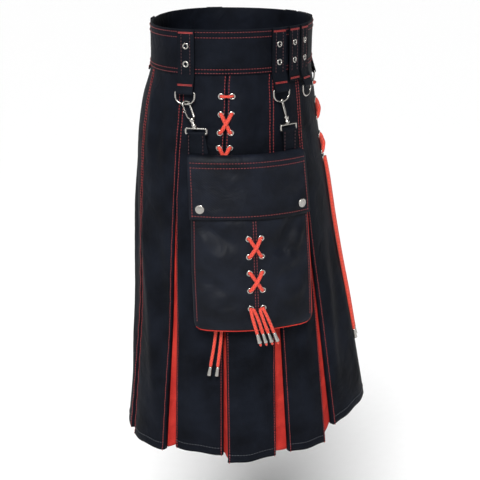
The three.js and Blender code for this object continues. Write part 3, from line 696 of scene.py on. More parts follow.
def inset_edges(i, z):
    """Where the gap in front of gore i lies. The last gap runs across the centre back."""
    edges = gore_edges(z)
    fore = apron_half(z) if i == 0 else edges[i - 1][1]
    return fore, (2 * half_length(z) - fore if i == BACK else edges[i][0])


def inset_points(i, seed):
    near = (APRON["edge_lift"], 0) if i == 0 else (GORES[i - 1].lift_rear, GORES[i - 1].out_rear)
    far = (0, 0) if i == BACK else (GORES[i].lift_fore, GORES[i].out_fore)
    rows = []
    for level in INSET_LEVELS:
        fore, rear = inset_edges(i, level)
        t = below(level)
        s = np.linspace(fore - RETURN, rear + RETURN, INSET["across"])
        part = np.clip((s - fore) / max(rear - fore, 1e-3), 0, 1)
        lift, reach = (a + (b - a) * part for a, b in zip(near, far))
        buckle = 1.2 * np.sin(level / 31 + seed) + 0.7 * np.sin(level / 9 + 3 * seed + 4 * part)
        floor = -fold_depth(level) - INSET["behind"]
        out = reach * t * t + floor + np.sin(np.pi * part) * opened(level) * buckle
        rows.append(on_form(s, level + lift * t * t, out))
    return np.array(rows)


for i in range(BACK + 1):
    for side, mark in SIDES[:1 if i == BACK else 2]:
        name = "inset_back" if i == BACK else f"inset_{mark}{i + 1}"
        cut = cloth_piece("red_" + name, inset_points(i, i * 1.7 + side) * [side, 1, 1], red_twill,
                          INSET["thick"], node=name)
print("insets: 11, and", cut)

# %% [markdown]
# ## Seam allowances
# Above the pleats the gores are sewn edge to edge, and their turned-in edges are pressed flat behind the
# seam. A narrow sheet behind each seam stands for them, so that no light comes through from inside.

# %% Seam allowances
ALLOWANCE = {"half": 8, "behind": 0.35, "thick": 0.9, "into_band": 5}


def allowance_points(i):
    rows = []
    for z in np.linspace(SEAM + ALLOWANCE["into_band"], OPENING + 24, 24):
        seam = half_length(z) if i == BACK else gore_edges(z)[i][0] - GAP_TOP / 2
        s = seam + np.linspace(-ALLOWANCE["half"], ALLOWANCE["half"], 7)
        rows.append(on_form(s, z, -fold_depth(z) - ALLOWANCE["behind"]))
    return np.array(rows)


for i in range(BACK + 1):
    for side, mark in SIDES[:1 if i == BACK else 2]:
        name = "seam_back" if i == BACK else f"seam_{mark}{i + 1}"
        cut = cloth_piece(name, allowance_points(i) * [side, 1, 1], black_twill, ALLOWANCE["thick"])
print("seam allowances: 11, and", cut)

# %% [markdown]
# ## Waistband
# Two layers of twill over a stiff core, so it is smooth, thick and rolled at the rim. It is one closed
# ring with a rounded section, and it dips a hair along each stitch row where the thread pulls it in.

# %% Waistband
BAND_OUT, BAND_IN, BAND_ROLL = 1.5, 1.5, 1.4
BAND_ROWS = (26.5, 19.5, -22.5, -27.5)
ROW_DIP, ROW_WIDE = 0.35, 1.6  # how deep a stitch row pulls the band in, and how far to each side
BAND_COUNT, BAND_STEP = 220, 3.9  # points round it, and about how far apart they are


def band_pull(z):
    return sum(-ROW_DIP * np.exp(-(((z - row) / ROW_WIDE) ** 2)) for row in BAND_ROWS)


def round_arcs(z, count, last=False):
    """Arc lengths all round the form, as negative ones once they pass the centre back."""
    s = np.linspace(0, 2 * half_length(z), count, endpoint=last)
    return np.where(s > half_length(z), s - 2 * half_length(z), s)


def waistband():
    foot, head = SEAM + 0.7, RIM - BAND_ROLL
    profile = [(z, BAND_OUT + band_pull(z)) for z in np.linspace(foot, head, 34)]
    for a in np.linspace(0.15, 1, 5)[:-1] * math.pi:
        profile.append((head + BAND_ROLL * math.sin(a), BAND_OUT * math.cos(a)))
    profile += [(z, -BAND_IN) for z in (head, 10, -10, foot)]
    profile += [(SEAM + 0.1, -BAND_IN + 0.6), (SEAM + 0.1, BAND_OUT - 0.6)]
    rows = []
    for z, out in profile:
        s = round_arcs(z, BAND_COUNT)
        wave = 0.35 * np.sin(s / 23) + 0.25 * np.sin(s / 9.1 + 1)
        rows.append(on_form(s, z, out + wave * (out > 0) * np.exp(-((z - 8) / 22) ** 2)))
    return np.array(rows + rows[:1])


band_points = waistband()
band_uv = np.stack(np.meshgrid(np.arange(BAND_COUNT) * BAND_STEP, run_along(band_points[:, 0])), axis=-1)
band = grid_mesh("band", band_points, black_twill, uv=band_uv, closed=True)
close_piece(band, caps=False, merge=1e-5)
stand_in(band, "waistband")
print("band verts:", len(band.data.vertices))

# %% [markdown]
# ## Straps on the band
# Nine narrow straps are sewn to the band as belt loops. Four of them run on below the seam and turn back
# round the bar of a D-ring. Each is a flat doubled strip, so its outline in side view is drawn once, with
# soft corners, and swept across its width with slightly rolled edges.

# %% Strap frames
LOOP = {"width": 24, "thick": 2, "end": -44, "off": 0.35}
LOOPS = [("hip_rear", 254, "r"), ("hip_front", 126, "r"), ("front_plain", 96, ""), ("front_ring", 68, "rl")]
RING = {"wire": 1.2, "half": 14, "drop": 15.5, "z": -53, "out": 6.4}
STRAP_SKIN, STRAP_HOLE, STRAP_RISE = 2.9, 1.55, 0.225 * math.pi  # bends round a bar, and where they start
STRAP_ACROSS = (-0.5, -0.47, -0.4, -0.25, 0, 0.25, 0.4, 0.47, 0.5)
EDGE_ROLL = 0.28
DOWN = np.array([0.0, 0.0, -1.0])


def frame_at(s):
    """A place on the band: its foot on the form at height 0, its way out and its way along."""
    nx, ny = outward(s, 0)
    return {"out": np.array([nx, ny, 0.0]), "along": np.array([-ny, nx, 0.0]), "base": on_form(s, 0, 0.0)}


def mirror_spot(spot):
    turn = np.array([-1.0, 1.0, 1.0])
    return {"out": spot["out"] * turn, "along": -spot["along"] * turn, "base": spot["base"] * turn}


def spot_point(spot, aside, out, z):
    """A point beside a spot's middle, out from the form and at a height."""
    return spot["base"] * [1, 1, 0] + spot["along"] * aside + spot["out"] * out + np.array([0, 0, z])


def reach_at(s, z):
    """How far the form at a height stands out of its place at height 0, along the way out."""
    spot = frame_at(s)
    return float((on_form(s, z, 0.0) - spot["base"]) @ spot["out"])


def loop_floor(s):
    """How far out a strap's back lies, so that it clears the whole band behind it."""
    spot = frame_at(s)
    most = [(on_form(s + a * LOOP["width"], z, BAND_OUT) - spot["base"]) @ spot["out"]
            for z in (RIM, 0, SEAM) for a in (-0.5, -0.25, 0, 0.25, 0.5)]
    return float(max(most)) + LOOP["off"]


def bar_out(s):
    return reach_at(s, RING["z"]) + RING["out"]


print("the rear hip ring's bar is", round(bar_out(LOOPS[0][1]), 1), "mm out")

# %% Straps


def strap_outline(s, ring):
    """The side view of a strap as (out, height), down its face and up its back."""
    inner = loop_floor(s)
    outer = inner + LOOP["thick"]
    face = [(outer - 0.7, 30.2), (outer, 29.2), (outer + 0.3, 10)]
    if not ring:
        end = LOOP["end"]
        low = max(0, reach_at(s, end)) + inner
        face += [(outer + 0.4, -8), (outer, SEAM), (low + 2, end + 0.8), (low + 1, end - 0.2)]
        return face + [(low, end + 0.6), (inner, SEAM), (inner, -8), (inner, 10), (inner, 29.2)]
    centre = bar_out(s)
    turns = np.linspace(STRAP_RISE, -1.2 * math.pi, 16)
    face += [(outer + 0.2, -10), (outer, SEAM)]
    for radius, way in ((STRAP_SKIN, 1), (STRAP_HOLE, -1)):
        face += [(centre + radius * math.cos(a), RING["z"] + radius * math.sin(a)) for a in turns[::way]]
    return face + [(inner, SEAM - 3), (inner, -10), (inner, 10), (inner, 29.2)]


def swept_strap(name, outline, spot):
    """Sweeps a strap's outline across its width. Its two edges are drawn in, so that they look rolled."""
    rows = []
    for a in STRAP_ACROSS:
        squeeze = EDGE_ROLL if abs(a) == 0.5 else 0.0
        row = []
        for k, (out, z) in enumerate(outline):
            before, after = outline[k - 1], outline[(k + 1) % len(outline)]
            tx, tz = after[0] - before[0], after[1] - before[1]
            long = math.hypot(tx, tz)
            draw_in = squeeze / long
            row.append(spot_point(spot, a * LOOP["width"], out - tz * draw_in, z + tx * draw_in))
        rows.append(row)
    piece = grid_mesh(name, np.array(rows), strap_twill, closed=True)
    close_piece(piece)
    piece.data.shade_smooth()
    return piece


def sew_strap(place, mark, s, spot, has_ring):
    name = place + ("_" + mark if mark else "")
    stand_in(swept_strap("strap_" + name, strap_outline(s, has_ring), spot), "loop_" + name)
    strap_spots[place, mark] = (spot, loop_floor(s) + LOOP["thick"], has_ring, s)


strap_spots = {}
for place, s, rings in LOOPS:
    for mark in "rl":
        spot = frame_at(s) if mark == "r" else mirror_spot(frame_at(s))
        sew_strap(place, mark, s, spot, mark in rings)
back_s = float(half_length(0))
sew_strap("back", "", back_s, frame_at(back_s), False)
print("straps:", len(strap_spots))

# %% [markdown]
# ## Wire forms
# D-rings and hooks are bent from round wire. A tube that follows a smooth line does them all: the line is
# a Catmull-Rom curve through a few points, and the section is carried along it without twisting.

# %% Tube helper


def unit(v):
    return v / np.linalg.norm(v)


def smooth_path(points, per, closed=False):
    p = np.array(points, float)
    count = len(p)
    out = []
    for i in range(count if closed else count - 1):
        a = p[(i - 1) % count] if closed or i > 0 else 2 * p[0] - p[1]
        b, c = p[i], p[(i + 1) % count]
        d = p[(i + 2) % count] if closed or i < count - 2 else 2 * p[-1] - p[-2]
        for t in np.linspace(0, 1, per, endpoint=False):
            out.append(0.5 * (2 * b + (c - a) * t + (2 * a - 5 * b + 4 * c - d) * t * t
                              + (3 * b - a - 3 * c + d) * t**3))
    if not closed:
        out.append(p[-1])
    return np.array(out)


def carried_sides(ahead, up, closed):
    """A direction across the line at each of its points, carried along it without twisting."""
    side = np.cross(ahead[0], up)
    if np.linalg.norm(side) < 1e-3:
        side = np.cross(ahead[0], (1, 0, 0))
    sides = []
    for t in ahead:
        side = unit(side - t * (side @ t))
        sides.append(side)
    sides = np.array(sides)
    if closed:
        last = unit(sides[-1] - ahead[0] * (sides[-1] @ ahead[0]))
        lead = math.atan2(np.cross(last, sides[0]) @ ahead[0], last @ sides[0])
        spin = lead * np.arange(len(ahead)) / len(ahead)
        sides = sides * np.cos(spin)[:, None] + np.cross(ahead, sides) * np.sin(spin)[:, None]
    return sides


def tube(name, path, radius, material, sides=12, closed=False, squash=1.0, up=(0, 0, 1)):
    """A round or squashed tube along a line, with one radius or one for each point."""
    path = np.asarray(path, float)
    ahead = np.roll(path, -1, 0) - np.roll(path, 1, 0) if closed else np.gradient(path, axis=0)
    ahead /= np.linalg.norm(ahead, axis=1)[:, None]
    side = carried_sides(ahead, up, closed)
    third = np.cross(ahead, side)
    turns = np.arange(sides) / sides * 2 * math.pi
    radii = np.broadcast_to(np.asarray(radius, float), (len(path),))
    rings = (path[:, None] + radii[:, None, None] * (np.cos(turns)[None, :, None] * side[:, None]
             + squash * np.sin(turns)[None, :, None] * third[:, None]))
    if closed:
        rings = np.concatenate([rings, rings[:1]])
    uv = np.stack(np.meshgrid(turns * float(np.mean(radii)), run_along(rings[:, 0])), axis=-1)
    piece = grid_mesh(name, rings, material, uv=uv, closed=True)
    close_piece(piece, caps=not closed)
    return piece


def join_pieces(name, parts):
    for part in parts:
        part.select_set(True)
    bpy.context.view_layer.objects.active = parts[0]
    for other in bpy.context.selected_objects:
        if other not in parts:
            other.select_set(False)
    bpy.ops.object.join()
    whole = bpy.context.view_layer.objects.active
    whole.name = name
    whole.select_set(False)
    return whole


print("tube helper ready")

# %% [markdown]
# ## D-rings
# Four D-rings: two hold the pocket's hooks and two hang free at the front, where they swing on their own
# bars. The wire is 2.4 mm, closed by a small butt weld in the middle of the straight bar.

# %% D-rings


def ring_line(bar, along):
    half, drop = RING["half"], RING["drop"]
    side = [(half - 1.4, 0), (half - 0.4, 0.4), (half, 1.4), (half * 0.96, drop * 0.52),
            (half * 0.72, drop * 0.82), (half * 0.36, drop * 0.97)]
    outline = [(0, 0), (half * 0.5, 0)] + side + [(0, drop)] + [(-x, y) for x, y in side[::-1]]
    return np.array([bar + along * x + DOWN * y for x, y in outline + [(-half * 0.5, 0)]])


def ring_spot(s, mark):
    spot = frame_at(s)
    bar = spot["base"] + spot["out"] * bar_out(s)
    bar[2] = RING["z"]
    turn = np.array([1.0, 1.0, 1.0]) if mark == "r" else np.array([-1.0, 1.0, 1.0])
    return bar * turn, spot["along"] * turn, spot["out"] * turn


for name, s, rings in LOOPS:
    for mark in rings:
        bar, along, out = ring_spot(s, mark)
        node = f"ring_{name}_{mark}"
        line = smooth_path(ring_line(bar, along), 7, closed=True)
        piece = tube("d_" + node, line, RING["wire"], nickel, sides=14, closed=True, up=tuple(out))
        stand_in(piece, node, f"front_ring_{mark}" if name == "front_ring" else BODY)
print("D-ring bar height:", RING["z"], "mm")

# %% [markdown]
# ## Snap hooks
# Each hook is a cast loop with a spring gate on one side, a swivel barrel below it, and a rectangular eye
# that takes the pocket's strap. The gate is a straight pin a little thinner than the loop, with a thumb
# stud, and the barrel is turned with two collars.

# %% Snap hooks
HOOK = {"wire": 1.5, "half": 4.9, "drop": 26, "eye_half": 14.2, "eye_high": 7, "eye_wire": 1.3,
        "clear": 1.2, "eye_z": -103}
HOOK_TURN = {"rear": -0.25 * math.pi, "front": -0.27 * math.pi}
BARREL = [  # share of its length, radius
    (0, 0.8), (0.02, 2.6), (0.12, 3.3), (0.3, 3.3), (0.36, 2.5), (0.55, 2.5), (0.6, 3.2), (0.8, 3.2),
    (0.92, 2.4), (1.0, 0.9)]
POCKET = {"s_top": 190, "s_low": 219, "half": 76, "top": -137, "bottom": -375, "flap_end": -220, "corner": 12}
POCKET_OUT = {"back": 7, "bag": 9.75, "front": 19, "front_low": 27, "eye": 9.4}
STRAP_U = {"rear": POCKET["half"] - 14, "front": -POCKET["half"] + 13}


def pocket_middle(z):
    t = (POCKET["top"] - np.asarray(z, float)) / (POCKET["top"] - POCKET["bottom"])
    return POCKET["s_top"] + (POCKET["s_low"] - POCKET["s_top"]) * t


def on_pocket(u, z, out):
    return on_form(pocket_middle(z) + u, z, out)


def eye_spot(u):
    z = HOOK["eye_z"]
    s = pocket_middle(POCKET["top"]) + u
    nx, ny = outward(s, z)
    return on_form(s, z, POCKET_OUT["eye"]), np.array([nx, ny, 0.0]), np.array([-ny, nx, 0.0])


def eye_outline(w, h, round_by=1.4, half_by=0.4):
    """The hook's lower eye, a rectangle with rounded corners."""
    corner = [(w - round_by, 0), (w - half_by, half_by), (w, round_by)]
    right = corner + [(x, h - y) for x, y in corner[::-1]]
    return [(0, 0)] + right + [(0, h)] + [(-x, y) for x, y in right[::-1]]


def snap_hook(name, s, u, turn):
    bar, along, out = ring_spot(s, "r")
    eye, eye_out, eye_along = eye_spot(u)
    low = bar + DOWN * RING["drop"]
    top = low - DOWN * (RING["wire"] + HOOK["clear"] + HOOK["wire"])
    length = np.linalg.norm(eye - top)
    down = (eye - top) / length
    wide = along * math.cos(turn) + out * math.sin(turn)
    wide = unit(wide - down * (wide @ down))
    half, drop, wire, high = (HOOK[k] for k in ("half", "drop", "wire", "eye_high"))

    def at(x, y):
        return top + wide * x + down * y

    claw = [(0, drop - 0.5), (half * 0.6, drop - 1.2), (half * 0.95, drop - 4), (half, drop * 0.55),
            (half, 5), (half * 0.78, 1.4), (0, 0), (-half * 0.75, 1.3), (-half * 0.98, 4.2),
            (-half * 0.98, 6.5)]
    line = smooth_path([at(x, y) for x, y in claw], 6)
    grow = np.interp(np.linspace(0, 1, len(line)), [0, 0.15, 0.55, 0.85, 1], [1.25, 1.15, 1.0, 0.95, 0.75])
    gate = [at(-half * x, y) for x, y in ((0.98, 7.3), (0.97, 12), (0.9, drop - 5), (0.5, drop - 1.4))]
    stud = at(-half * 0.95, 13.5)
    start, end = drop - 2.0, length - high / 2 - 0.2
    barrel = [top + down * (start + (end - start) * share) for share, _ in BARREL]
    loop = [eye + DOWN * (y - high / 2) + eye_along * x for x, y in eye_outline(HOOK["eye_half"], high)]
    return join_pieces(name, [
        tube(name + "_claw", line, wire * grow, nickel),
        tube(name + "_gate", smooth_path(gate, 5), wire * 0.72, nickel, sides=10),
        tube(name + "_stud", [stud, stud - wide * 2.6, stud - wide * 3.0], [0.9, 1.1, 0.7], nickel, sides=10),
        tube(name + "_barrel", barrel, [radius for _, radius in BARREL], nickel, sides=18),
        tube(name + "_eye", smooth_path(loop, 5, closed=True), HOOK["eye_wire"], nickel, closed=True,
             up=tuple(eye_out))])


for name, (_, s, _) in zip(("rear", "front"), LOOPS):
    stand_in(snap_hook("snap_hook_" + name, s, STRAP_U[name], HOOK_TURN[name]), "hook_" + name)
print("hooks:", len(HOOK_TURN))

# %% [markdown]
# ## Hanging pocket
# The pocket is a flat back, a bag with a gusset that fills toward the bottom, and a flap that closes over
# its mouth with two snaps. It follows the hip, so it is drawn in its own coordinates: u across it, height
# and distance out of the skirt. Its creases come from the weight in it and the pull of the snaps.

# %% Pocket creases
BAG_CREASES = [  # start across and height, end across and height, width, depth
    (64, -222, 22, -262, 8, -4.0), (68, -240, 34, -282, 8, 2.6), (-62, -222, -20, -268, 9, -4.2),
    (-68, -236, -36, -292, 8, 2.6), (-72, -264, -18, -268, 6, -2.2), (-70, -294, -22, -304, 7, -2.8),
    (-68, -322, -26, -336, 8, 2.2), (72, -300, 26, -322, 9, -2.6), (68, -340, 14, -350, 8, 2.3),
    (-24, -352, 28, -360, 9, -2.4), (48, -262, 12, -300, 10, 2.0), (-14, -312, -48, -352, 8, -2.2),
    (40, -226, -4, -238, 8, 1.8), (-44, -226, -8, -244, 8, 1.6), (20, -320, 60, -334, 9, 1.6),
]
FLAP_CREASES = [
    (60, -150, 52, -200, 11, 1.3), (-58, -152, -64, -198, 10, -1.5), (20, -150, 6, -216, 14, 1.5),
    (-30, -150, -20, -214, 13, -1.5), (72, -200, 36, -216, 8, 1.2), (-72, -198, -40, -215, 8, 1.2),
    (44, -152, -40, -162, 7, -1.3), (-4, -176, 62, -170, 10, -1.0), (-66, -172, -26, -180, 9, 1.0),
]
BAG_GAIN = 1.3
BAG_FADE, FLAP_FADE = 12, 10  # mm over which the creases die out toward the sides


def bag_front(z):
    t = np.clip((POCKET["top"] - 8 - z) / 150, 0, 1)
    return POCKET_OUT["front"] + (POCKET_OUT["front_low"] - POCKET_OUT["front"]) * t


def flap_out(z):
    top = -POCKET["top"]
    return np.interp(-z, [top + 1, top + 6, top + 40, -POCKET["flap_end"]], [18.5, 21.6, 23.4, 26.0])


def bag_relief(u, z):
    """The bag's creases, which fade toward its sides."""
    return BAG_GAIN * crease(u, z, BAG_CREASES) * np.clip((POCKET["half"] - 4 - np.abs(u)) / BAG_FADE, 0, 1)


def flap_relief(u, z):
    """The flap's creases, which start below its fold and fade toward its sides."""
    shown = (z < POCKET["top"] - 8) * np.clip((POCKET["half"] - np.abs(u)) / FLAP_FADE, 0, 1)
    return crease(u, z, FLAP_CREASES) * shown


print("bag front at the bottom:", float(bag_front(POCKET["bottom"])), "mm out")

# %% Pocket bag


def bag_row(z, wide, front, flat=None):
    """One level of the bag: a gusset, the face with its creases or a flat part of the bottom, a gusset."""
    back = POCKET_OUT["bag"]
    gusset = [(0, back + (front - back) * 0.4), (0, front - 5), (0.5, front - 2.2), (2.2, front - 0.5)]
    if flat is not None:
        gusset = [(inward, flat) for inward in range(4)]
    inward, edge = np.array([(0, back)] + gusset).T
    u = np.linspace(5 - wide, wide - 5, 44)
    face = front + bag_relief(u, z) if flat is None else np.full_like(u, flat)
    return on_pocket(np.concatenate([inward - wide, u, wide - inward[::-1]]), z,
                     np.concatenate([edge, face, edge[::-1]]))


def pocket_bag():
    half, bottom, corner = POCKET["half"], POCKET["bottom"], POCKET["corner"]
    rows = [bag_row(z, half, bag_front(z)) for z in np.linspace(POCKET["top"] - 10, bottom + corner, 46)]
    for a in np.linspace(0.12, 1, 9):
        turn = a * math.pi / 2
        z = bottom + corner - corner * math.sin(turn) - 0.6 * a
        tuck = 1 - math.cos(turn)
        rows.append(bag_row(z, half - corner * tuck * 0.75, bag_front(z) - 5 * tuck))
    z = bottom - 0.8
    front = bag_front(z) - 5
    for part in (0.35, 0.7, 1.0):
        flat = front + (POCKET_OUT["bag"] - front) * part
        rows.append(bag_row(z - 0.2 * part, half - corner * 0.75, front, flat))
    return np.array(rows)


print(cloth_piece("pocket_bag_cloth", pocket_bag(), pocket_twill, 1.5, node="pocket_bag"))

# %% Pocket back and its straps


def back_sheet():
    half, top, bottom, corner = POCKET["half"], POCKET["top"], POCKET["bottom"], POCKET["corner"]
    rows = []
    for z in np.linspace(top, bottom, 40):
        trim = corner * (1 - math.sqrt(max(0.0, 1 - (max(0.0, bottom + corner - z) / corner) ** 2)))
        rows.append(on_pocket(np.linspace(trim - half, half - trim, 30), z, POCKET_OUT["back"] + 2))
    return np.array(rows)


print(cloth_piece("pocket_back_cloth", back_sheet(), pocket_twill, 1.8, node="pocket_back"))


def pocket_strap(name, u):
    eye, out, along = eye_spot(u)
    bar_z = eye[2] - HOOK["eye_high"] / 2
    hole = HOOK["eye_wire"] + 0.3
    skin = hole + 1.3
    lower = POCKET["top"] - 6
    low = on_pocket(u, lower, POCKET_OUT["back"] + 0.9)
    lean = float((low - eye) @ out)
    slip = float((low - eye) @ along)
    turns = np.linspace(-0.3, math.pi + 0.6, 16)
    outline = [(lean - 0.7, lower), (lean + 0.7, lower), (lean * 0.7 + 0.9, bar_z - 24),
               (lean * 0.4 + 1.2, bar_z - 14), (lean * 0.2 + 1.9, bar_z - 6)]
    outline += [(skin * math.cos(a), bar_z + skin * math.sin(a)) for a in turns]
    outline += [(hole * math.cos(a), bar_z + hole * math.sin(a)) for a in turns[::-1] if a > 0.1]
    outline += [(hole * 0.9, bar_z - hole * 1.4), (lean * 0.2 + 0.6, bar_z - 7), (lean * 0.4, bar_z - 14),
                (lean * 0.7 - 0.4, bar_z - 24)]
    rows = []
    for a in (-0.5, -0.48, -0.4, -0.2, 0, 0.2, 0.4, 0.48, 0.5):
        ring = []
        for off, z in outline:
            part = np.clip((bar_z - z) / (bar_z - lower), 0, 1)
            spot = eye + along * (a * 24.4 + slip * part) + out * off
            spot[2] = z
            ring.append(spot)
        rows.append(ring)
    piece = grid_mesh(name, np.array(rows), strap_twill, closed=True)
    close_piece(piece)
    stand_in(piece)


for name, u in STRAP_U.items():
    pocket_strap("pocket_strap_" + name, u)
print("pocket straps:", len(STRAP_U))

# %% Pocket flap


def flap_points():
    half, top, end = POCKET["half"], POCKET["top"], POCKET["flap_end"]
    profile = [(9.9, top - 8), (9.9, top - 3), (9.9, top + 1.2), (10.8, top + 2.8), (13, top + 3.4),
               (16, top + 2.9), (18.5, top + 1.6), (20.6, top - 1.6), (21.6, top - 5)]
    profile += [(flap_out(z), z) for z in np.linspace(top - 9, end, 26)]
    u = np.linspace(-half - 0.5, half + 0.5, 48)
    rows = []
    for out, z in profile:
        drop = 0.8 * np.sin(u / 21.0) * np.clip((top - 50 - z) / 30, 0, 1)
        rows.append(on_pocket(u, z + drop, out + flap_relief(u, z)))
    return np.array(rows)


print(cloth_piece("pocket_flap_cloth", flap_points(), pocket_twill, 1.7, node="pocket_flap"))

# %% [markdown]
# ## Snaps, eyelets and stitches by Geometry Nodes
# What repeats is instanced. Points that carry a facing direction become eyelets: a ring rolled from a
# small circle. Lines become stitch rows: short capsules set along them. Both trees end in realized
# geometry with a material, and the result is kept as a plain mesh.

# %% Snap caps
SNAP = {"z": -205, "inset": 13}
SNAP_PROFILE = [  # radius, height
    (0.4, 0.0), (6.4, 0.0), (6.5, 0.9), (6.2, 1.7), (5.5, 2.1), (5.0, 1.9), (3.6, 2.2), (1.6, 2.6),
    (0.2, 2.7)]


def spun_disc(name, centre, normal, profile, material, steps=28):
    """A profile of radii and heights, spun round the way out."""
    side = unit(np.cross(normal, (0, 0, 1)))
    up = np.cross(side, normal)
    turns = np.arange(steps) / steps * 2 * math.pi
    rows = [[centre + normal * h + (side * math.cos(a) + up * math.sin(a)) * r for a in turns]
            for r, h in profile]
    piece = grid_mesh(name, np.array(rows), material, closed=True)
    close_piece(piece)
    return piece


for name, side in (("rear", 1), ("front", -1)):
    u = side * (POCKET["half"] - SNAP["inset"])
    nx, ny = outward(pocket_middle(SNAP["z"]) + u, SNAP["z"])
    centre = on_pocket(u, SNAP["z"], flap_out(SNAP["z"]) + 0.2)
    cap = spun_disc("snap_cap_" + name, centre, unit(np.array([nx, ny, 0.0])), SNAP_PROFILE, nickel)
    stand_in(cap, "snap_" + name)
print("snap caps: 2")

# %% Geometry Nodes trees


def new_tree(name, inputs):
    tree = bpy.data.node_groups.new(name, "GeometryNodeTree")
    tree.interface.new_socket("Geometry", in_out="INPUT", socket_type="NodeSocketGeometry")
    for label, value in inputs:
        kind = "NodeSocketMaterial" if value is None else "NodeSocketFloat"
        socket = tree.interface.new_socket(label, in_out="INPUT", socket_type=kind)
        if value is not None:
            socket.default_value = value
    tree.interface.new_socket("Geometry", in_out="OUTPUT", socket_type="NodeSocketGeometry")
    return tree, add(tree, "NodeGroupInput").outputs


def finish_tree(tree, instances, material):
    """Ends a tree: the instances are realized, smoothed and given their material."""
    solid = add(tree, "GeometryNodeRealizeInstances", Geometry=instances)
    smooth = add(tree, "GeometryNodeSetShadeSmooth", Geometry=solid.outputs[0])
    paint = add(tree, "GeometryNodeSetMaterial", Geometry=smooth.outputs[0], Material=material)
    add(tree, "NodeGroupOutput", Geometry=paint.outputs[0])
    return tree


def stitch_tree():
    tree, given = new_tree("stitch rows", [("Spacing", 0.004), ("Length", 0.0031), ("Thickness", 0.0006),
                                           ("Material", None)])
    line = add(tree, "GeometryNodeMeshToCurve", Mesh=given["Geometry"])
    points = add(tree, "GeometryNodeCurveToPoints", {"mode": "LENGTH"}, Curve=line.outputs[0],
                 Length=given["Spacing"])
    ball = add(tree, "GeometryNodeMeshUVSphere", {"Segments": 6, "Rings": 4, "Radius": 1.0})
    halved = add(tree, "ShaderNodeMath", {"operation": "MULTIPLY", 1: 0.5}, i0=given["Length"])
    size = add(tree, "ShaderNodeCombineXYZ", i0=given["Thickness"], i1=given["Thickness"],
               i2=halved.outputs[0])
    turn = add(tree, "FunctionNodeAlignEulerToVector", {"axis": "Z"}, Vector=points.outputs["Tangent"])
    rows = add(tree, "GeometryNodeInstanceOnPoints", Points=points.outputs["Points"],
               Instance=ball.outputs["Mesh"], Rotation=turn.outputs[0], Scale=size.outputs[0])
    return finish_tree(tree, rows.outputs[0], given["Material"])


def eyelet_tree():
    tree, given = new_tree("eyelets", [("Outer radius", 0.0045), ("Hole radius", 0.0023), ("Material", None)])
    middle = add(tree, "ShaderNodeMath", {"operation": "ADD"}, i0=given["Outer radius"],
                 i1=given["Hole radius"])
    half = add(tree, "ShaderNodeMath", {"operation": "MULTIPLY", 1: 0.5}, i0=middle.outputs[0])
    rim = add(tree, "ShaderNodeMath", {"operation": "SUBTRACT"}, i0=given["Outer radius"], i1=half.outputs[0])
    line = add(tree, "GeometryNodeCurvePrimitiveCircle", {"Resolution": 24}, Radius=half.outputs[0])
    section = add(tree, "GeometryNodeCurvePrimitiveCircle", {"Resolution": 8}, Radius=rim.outputs[0])
    ring = add(tree, "GeometryNodeCurveToMesh", Curve=line.outputs[0], Profile_Curve=section.outputs[0])
    flat = add(tree, "GeometryNodeTransform", {"Scale": (1, 1, 0.7)}, Geometry=ring.outputs[0])
    facing = add(tree, "GeometryNodeInputNamedAttribute", {"data_type": "FLOAT_VECTOR", "Name": "facing"})
    turn = add(tree, "FunctionNodeAlignEulerToVector", {"axis": "Z"}, Vector=facing.outputs[0])
    points = add(tree, "GeometryNodeMeshToPoints", Mesh=given["Geometry"])
    rows = add(tree, "GeometryNodeInstanceOnPoints", Points=points.outputs[0], Instance=flat.outputs[0],
               Rotation=turn.outputs[0])
    return finish_tree(tree, rows.outputs[0], given["Material"])


def run_tree(source, tree, values, name):
    """Runs a tree on an object and keeps what comes out as a plain mesh in its place."""
    modifier = source.modifiers.new("nodes", "NODES")
    modifier.node_group = tree
    for item in tree.interface.items_tree:
        if item.in_out == "INPUT" and item.name in values:
            modifier[item.identifier] = values[item.name]
    depsgraph = bpy.context.evaluated_depsgraph_get()
    mesh = bpy.data.meshes.new_from_object(source.evaluated_get(depsgraph))
    mesh.name = name
    bpy.data.objects.remove(source)
    return put_in_scene(name, mesh)


stitches_tree = stitch_tree()
eyelets_tree = eyelet_tree()
print("trees:", [t.name for t in bpy.data.node_groups])

# %% Stitch rows of the skirt
THREAD_OFF = 0.25
FORM_MIDDLE = (0, -20, 0)
FOLD_COLUMNS = 8  # of a gore's grid, on each side of its face
HEM_ROW_UP = 11


def stitch(name, lines, spacing=0.004, length=0.0031, thick=0.0006, material=red_thread):
    verts, edges = [], []
    for line in lines:
        start = len(verts)
        verts += (line * MM).tolist()
        edges += [(start + k, start + k + 1) for k in range(len(line) - 1)]
    mesh = bpy.data.meshes.new(name + "_lines")
    mesh.from_pydata(verts, edges, [])
    values = {"Spacing": spacing, "Length": length, "Thickness": thick, "Material": material}
    piece = run_tree(put_in_scene(mesh.name, mesh), stitches_tree, values, name)
    stand_in(piece)
    print(name, "triangles:", sum(len(p.vertices) - 2 for p in piece.data.polygons))


def off_face(points):
    """Points of the cloth, moved just off its face."""
    out = (points - FORM_MIDDLE) * [1, 1, 0]
    return points + out / np.linalg.norm(out, axis=1)[:, None] * THREAD_OFF


def hem_line(points):
    """A line across a gore's face, a set way above its hem."""
    steps = HEM_ROW_UP / np.linalg.norm(points[-1] - points[-2], axis=-1)
    whole = int(steps.mean())
    low, high = points[-1 - whole], points[-2 - whole]
    line = low + (high - low) * np.clip(steps - whole, 0, 1)[:, None]
    return off_face(line[FOLD_COLUMNS:-FOLD_COLUMNS])


